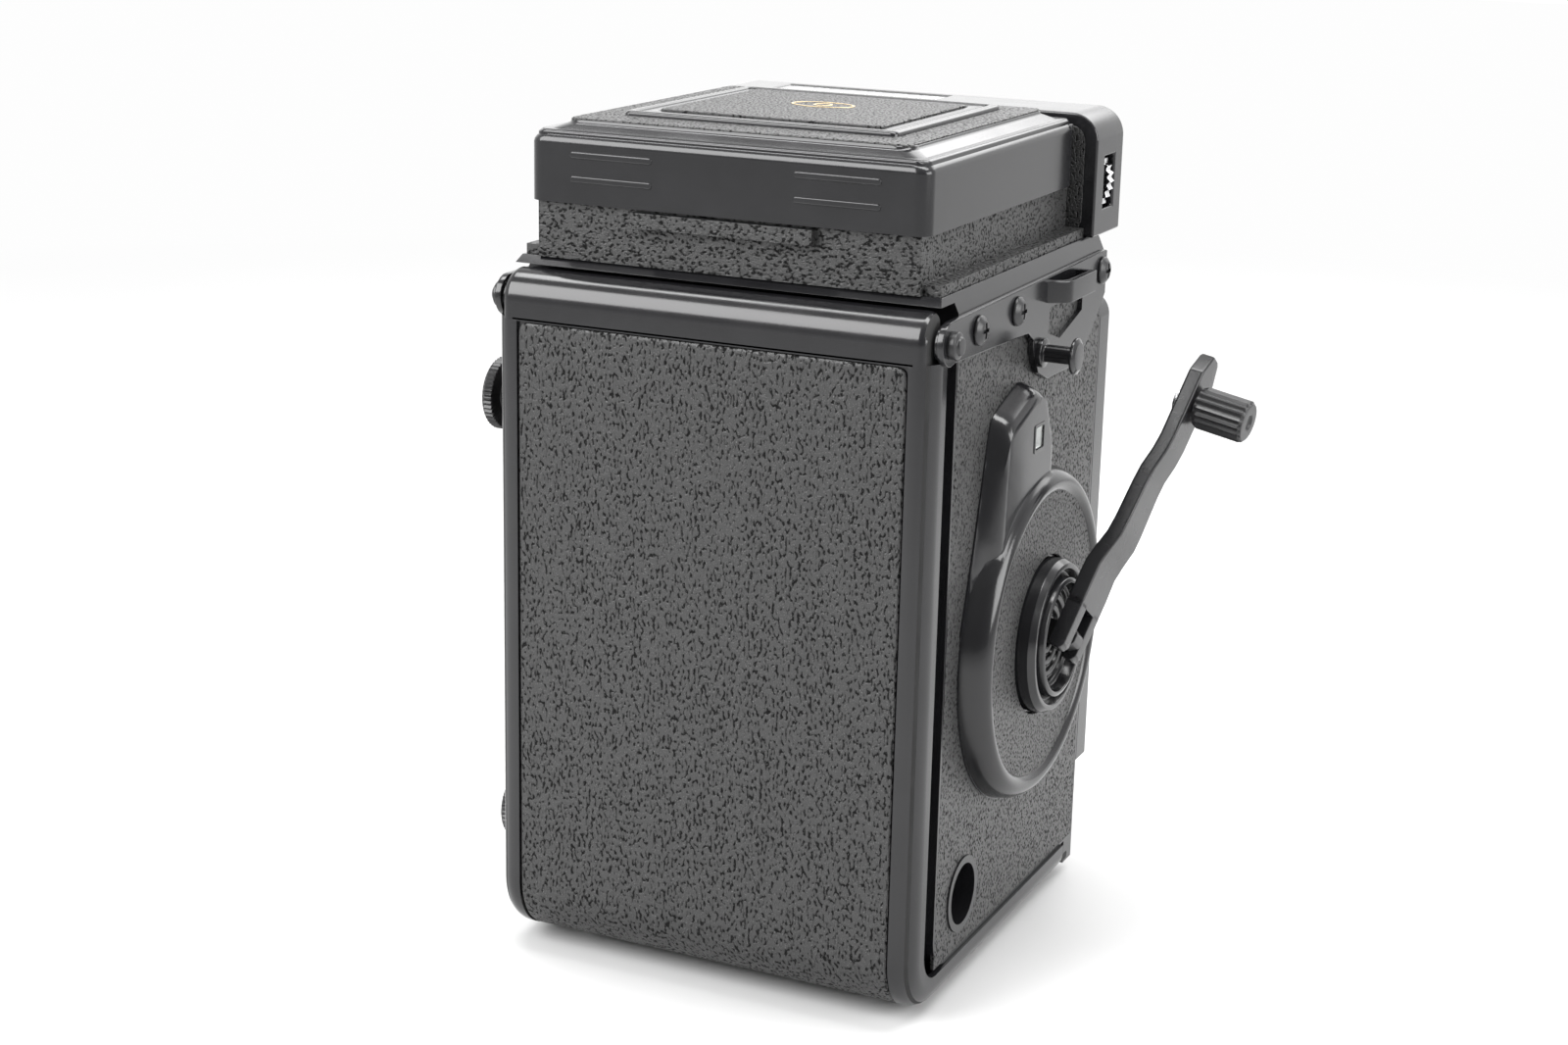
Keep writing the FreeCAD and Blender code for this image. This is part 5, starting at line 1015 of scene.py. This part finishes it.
def lugs():
    """Strap lug plates, screws, studs and hinge pins."""
    plates, bridges = zip(*(lug_plate(side) for side in (-1, 1)))
    plate_piece = add_piece("lug_plates", joined(*plates), ENAMEL, "camera", "strap_lugs")
    add_piece("lug_bridges", joined(*bridges), ENAMEL, "camera")
    patch = rectangle(-27.5, -8.0, 104.6, 112.5)
    beneath = [prism("x", patch, sorted((side * 38.4, side * 38.8)), 0) for side in (-1, 1)]
    add_piece("lug_leather", joined(*beneath), SIDE_LEATHER, "camera")
    window = [(-9.5, 111.6), (-9.0, 107.2), (-15.0, 105.4), (-26.0, 108.5), (-26.0, 111.6)]
    for side in (-1, 1):
        subtract(plate_piece, prism("x", window, sorted((side * 38.0, side * 40.5)), 0))
    lug_screws()
    pins, studs = [], []
    for side in (-1, 1):
        pins.append(sided(side, (HINGE_Y, HINGE_Z),
                          [(36.6, 0), (36.6, 1.0), (39.6, 1.0), (39.6, 2.2), (40.9, 2.2),
                           (41.1, 1.5), (41.55, 1.35), (41.6, 0)], 0.25, segments=48))
        pins.append(sided(side, (-29.5, 139.3), [(32.2, 0), (32.2, 0.58), (35.1, 0.58), (35.1, 0)],
                          0.1, segments=24))
        studs.append(sided(side, (-5.5, 104.6),
                           [(39.6, 0), (39.6, 2.5), (40.6, 2.5), (40.7, 1.5), (45.6, 1.5),
                            (45.7, 3.1), (46.2, 3.1), (46.6, 2.3), (46.6, 0)], 0.25, segments=56))
    add_piece("hinge_pin_heads", joined(*pins), SATIN_BLACK, "camera", "hinge_pins")
    add_piece("strap_stud_pair", joined(*studs), ENAMEL, "camera", "strap_studs")


def lug_screws():
    """Domed screw heads with cross recesses, three on each lug plate."""
    places = ((23.6, 113.4), (6.5, 113.6), (-36.0, 113.9))
    base, top, radius = 39.7, 41.0, 2.45
    rise = top - base
    dome = [(base, 0), (base, radius), (base + rise * 0.35, radius),
            (top - rise * 0.1, radius * 0.6), (top, 0)]
    screws = [sided(side, place, dome, radius * 0.3, segments=40)
              for side in (-1, 1) for place in places]
    heads = add_piece("lug_screw_heads", joined(*screws), SATIN_BLACK, "camera", "lug_screws")
    for side in (-1, 1):
        for y, z in places:
            for half_y, half_z in ((1.3, 0.32), (0.32, 1.3)):
                slot = rectangle(y - half_y, y + half_y, z - half_z, z + half_z)
                subtract(heads, prism("x", slot, sorted((side * 40.4, side * 42)), 0))


# ------------------------------------------------------------------ studio

def area_light(name, place, aim, size, energy, wide=(1, 0, 0)):
    """A soft rectangular light, placed in millimetres, whose first side runs along wide."""
    data = bpy.data.lights.new(name, "AREA")
    data.shape = "RECTANGLE"
    data.size, data.size_y = size[0] * MM, size[1] * MM
    data.energy = energy
    light = new_object(name, data)
    light.location = Vector(place) * MM
    back = (Vector(place) - Vector(aim)).normalized()
    level = Vector(wide).cross(back).cross(back).normalized()
    axes = Matrix((level, back.cross(level), back)).transposed()
    light.rotation_mode = "QUATERNION"
    light.rotation_quaternion = axes.to_quaternion()


def paper_floor():
    """A pale floor, blended into a plain white glow far from the object."""
    near, far, white = 0.3, 0.75, 0.985
    look = Look("pale_floor")
    cloud = look.noise(look.position(), 60.0)
    look.shade(Base_Color=look.ramp(cloud, (0.3, 0.6), (0.7, 0.62)), Roughness=0.7,
               Specular_IOR_Level=0.1)
    reach = look.add("VectorMath", {0: look.position()}, "Value", operation="LENGTH")
    glow = look.add("Emission", {"Color": (1, 1, 1, 1), "Strength": white})
    blend = look.add("MixShader", {"Fac": look.ramp(reach, (near, 0.0), (far, 1.0)),
                                   1: look.shader.outputs["BSDF"], 2: glow})
    look.feed(look.tree.nodes["Material Output"], {"Surface": blend})
    bm = lathe("z", (0, 0), [(0, 0), (0, FLOOR_RADIUS)])
    bmesh.ops.translate(bm, vec=(0, 0, FLOOR_LEVEL), verts=bm.verts)
    floor = new_object("floor", mesh_in_metres("floor", bm))
    floor.data.materials.append(look.material)


def studio():
    """The floor, the surroundings and four soft lights."""
    paper_floor()
    surroundings()
    middle = (0, 0, 80)
    area_light("overhead", (0, -40, 640), middle, (760, 200), 5.0)
    area_light("key", (340, 480, 480), middle, (520, 480), 7.0)
    area_light("far_floor", (-100, -650, 520), (-80, -330, 0), (700, 400), 2.6)
    area_light("crank_side", (-640, 60, 300), middle, (420, 360), 3.5, (0, 1, 0))
    bpy.context.scene.view_settings.view_transform = "Standard"


def surroundings():
    """The world: plain white to the eye; as light, dimmest overhead and behind the camera."""
    world = bpy.data.worlds.new("studio")
    bpy.context.scene.world = world
    world.use_nodes = True
    sky = Nodes(world.node_tree)
    toward = sky.add("TexCoord", output="Generated")
    height = sky.add("SeparateXYZ", {"Vector": toward}, "Z")
    by_height = sky.ramp(height, (0.0, 0.75), (0.12, 0.8), (0.4, 0.9), (1.0, 0.6))
    angle = math.radians(CAMERA_AZIMUTH)
    camera_side = (math.sin(angle), -math.cos(angle), 0.1)
    nearness = sky.add("VectorMath", {0: toward, 1: camera_side}, "Value", operation="DOT_PRODUCT")
    share = sky.add("MapRange", {"Value": nearness, "From Min": -1.0}, "Result")
    by_side = sky.ramp(share, (0.0, 2.2), (0.15, 1.5), (0.3, 1.2), (0.75, 1.0), (0.92, 0.45),
                       (1.0, 0.3))
    light = sky.add("MixRGB", {"Color1": by_height, "Color2": by_side, "Fac": 1.0},
                    blend_type="MULTIPLY")
    around = sky.tree.nodes["Background"]
    sky.feed(around, {"Color": light})
    seen = sky.add("Background", {"Color": (1, 1, 1, 1), "Strength": 1.05})
    mix = sky.add("MixShader", {"Fac": sky.add("LightPath", output="Is Camera Ray"),
                                1: around.outputs["Background"], 2: seen})
    sky.feed(sky.tree.nodes["World Output"], {"Surface": mix})


def camera():
    """The camera, from its direction, roll, target and distance."""
    azimuth = math.radians(CAMERA_AZIMUTH)
    elevation, roll = math.radians(CAMERA_ELEVATION), math.radians(CAMERA_ROLL)
    back = Vector((math.sin(azimuth) * math.cos(elevation),
                   -math.cos(azimuth) * math.cos(elevation), math.sin(elevation)))
    right = Vector((0, 0, 1)).cross(back).normalized()
    up = back.cross(right)
    turned_right = right * math.cos(roll) + up * math.sin(roll)
    turned_up = up * math.cos(roll) - right * math.sin(roll)
    data = bpy.data.cameras.new("camera")
    data.lens = CAMERA_LENS
    data.sensor_width = 36.0
    data.clip_start = 0.01
    cam = new_object("camera", data)
    place = (Vector(CAMERA_TARGET) + back * CAMERA_DISTANCE) * MM
    cam.matrix_world = Matrix.Translation(place) @ Matrix((
        turned_right, turned_up, back)).transposed().to_4x4()
    bpy.context.scene.camera = cam


camera()
studio()
back_door()
door_leather()
door_fittings()
body()
crank_cover()
counter()
crank()
hood()
meter()
lens_board()
left_side()
lugs()
for piece in pieces:
    weigh_normals(piece)
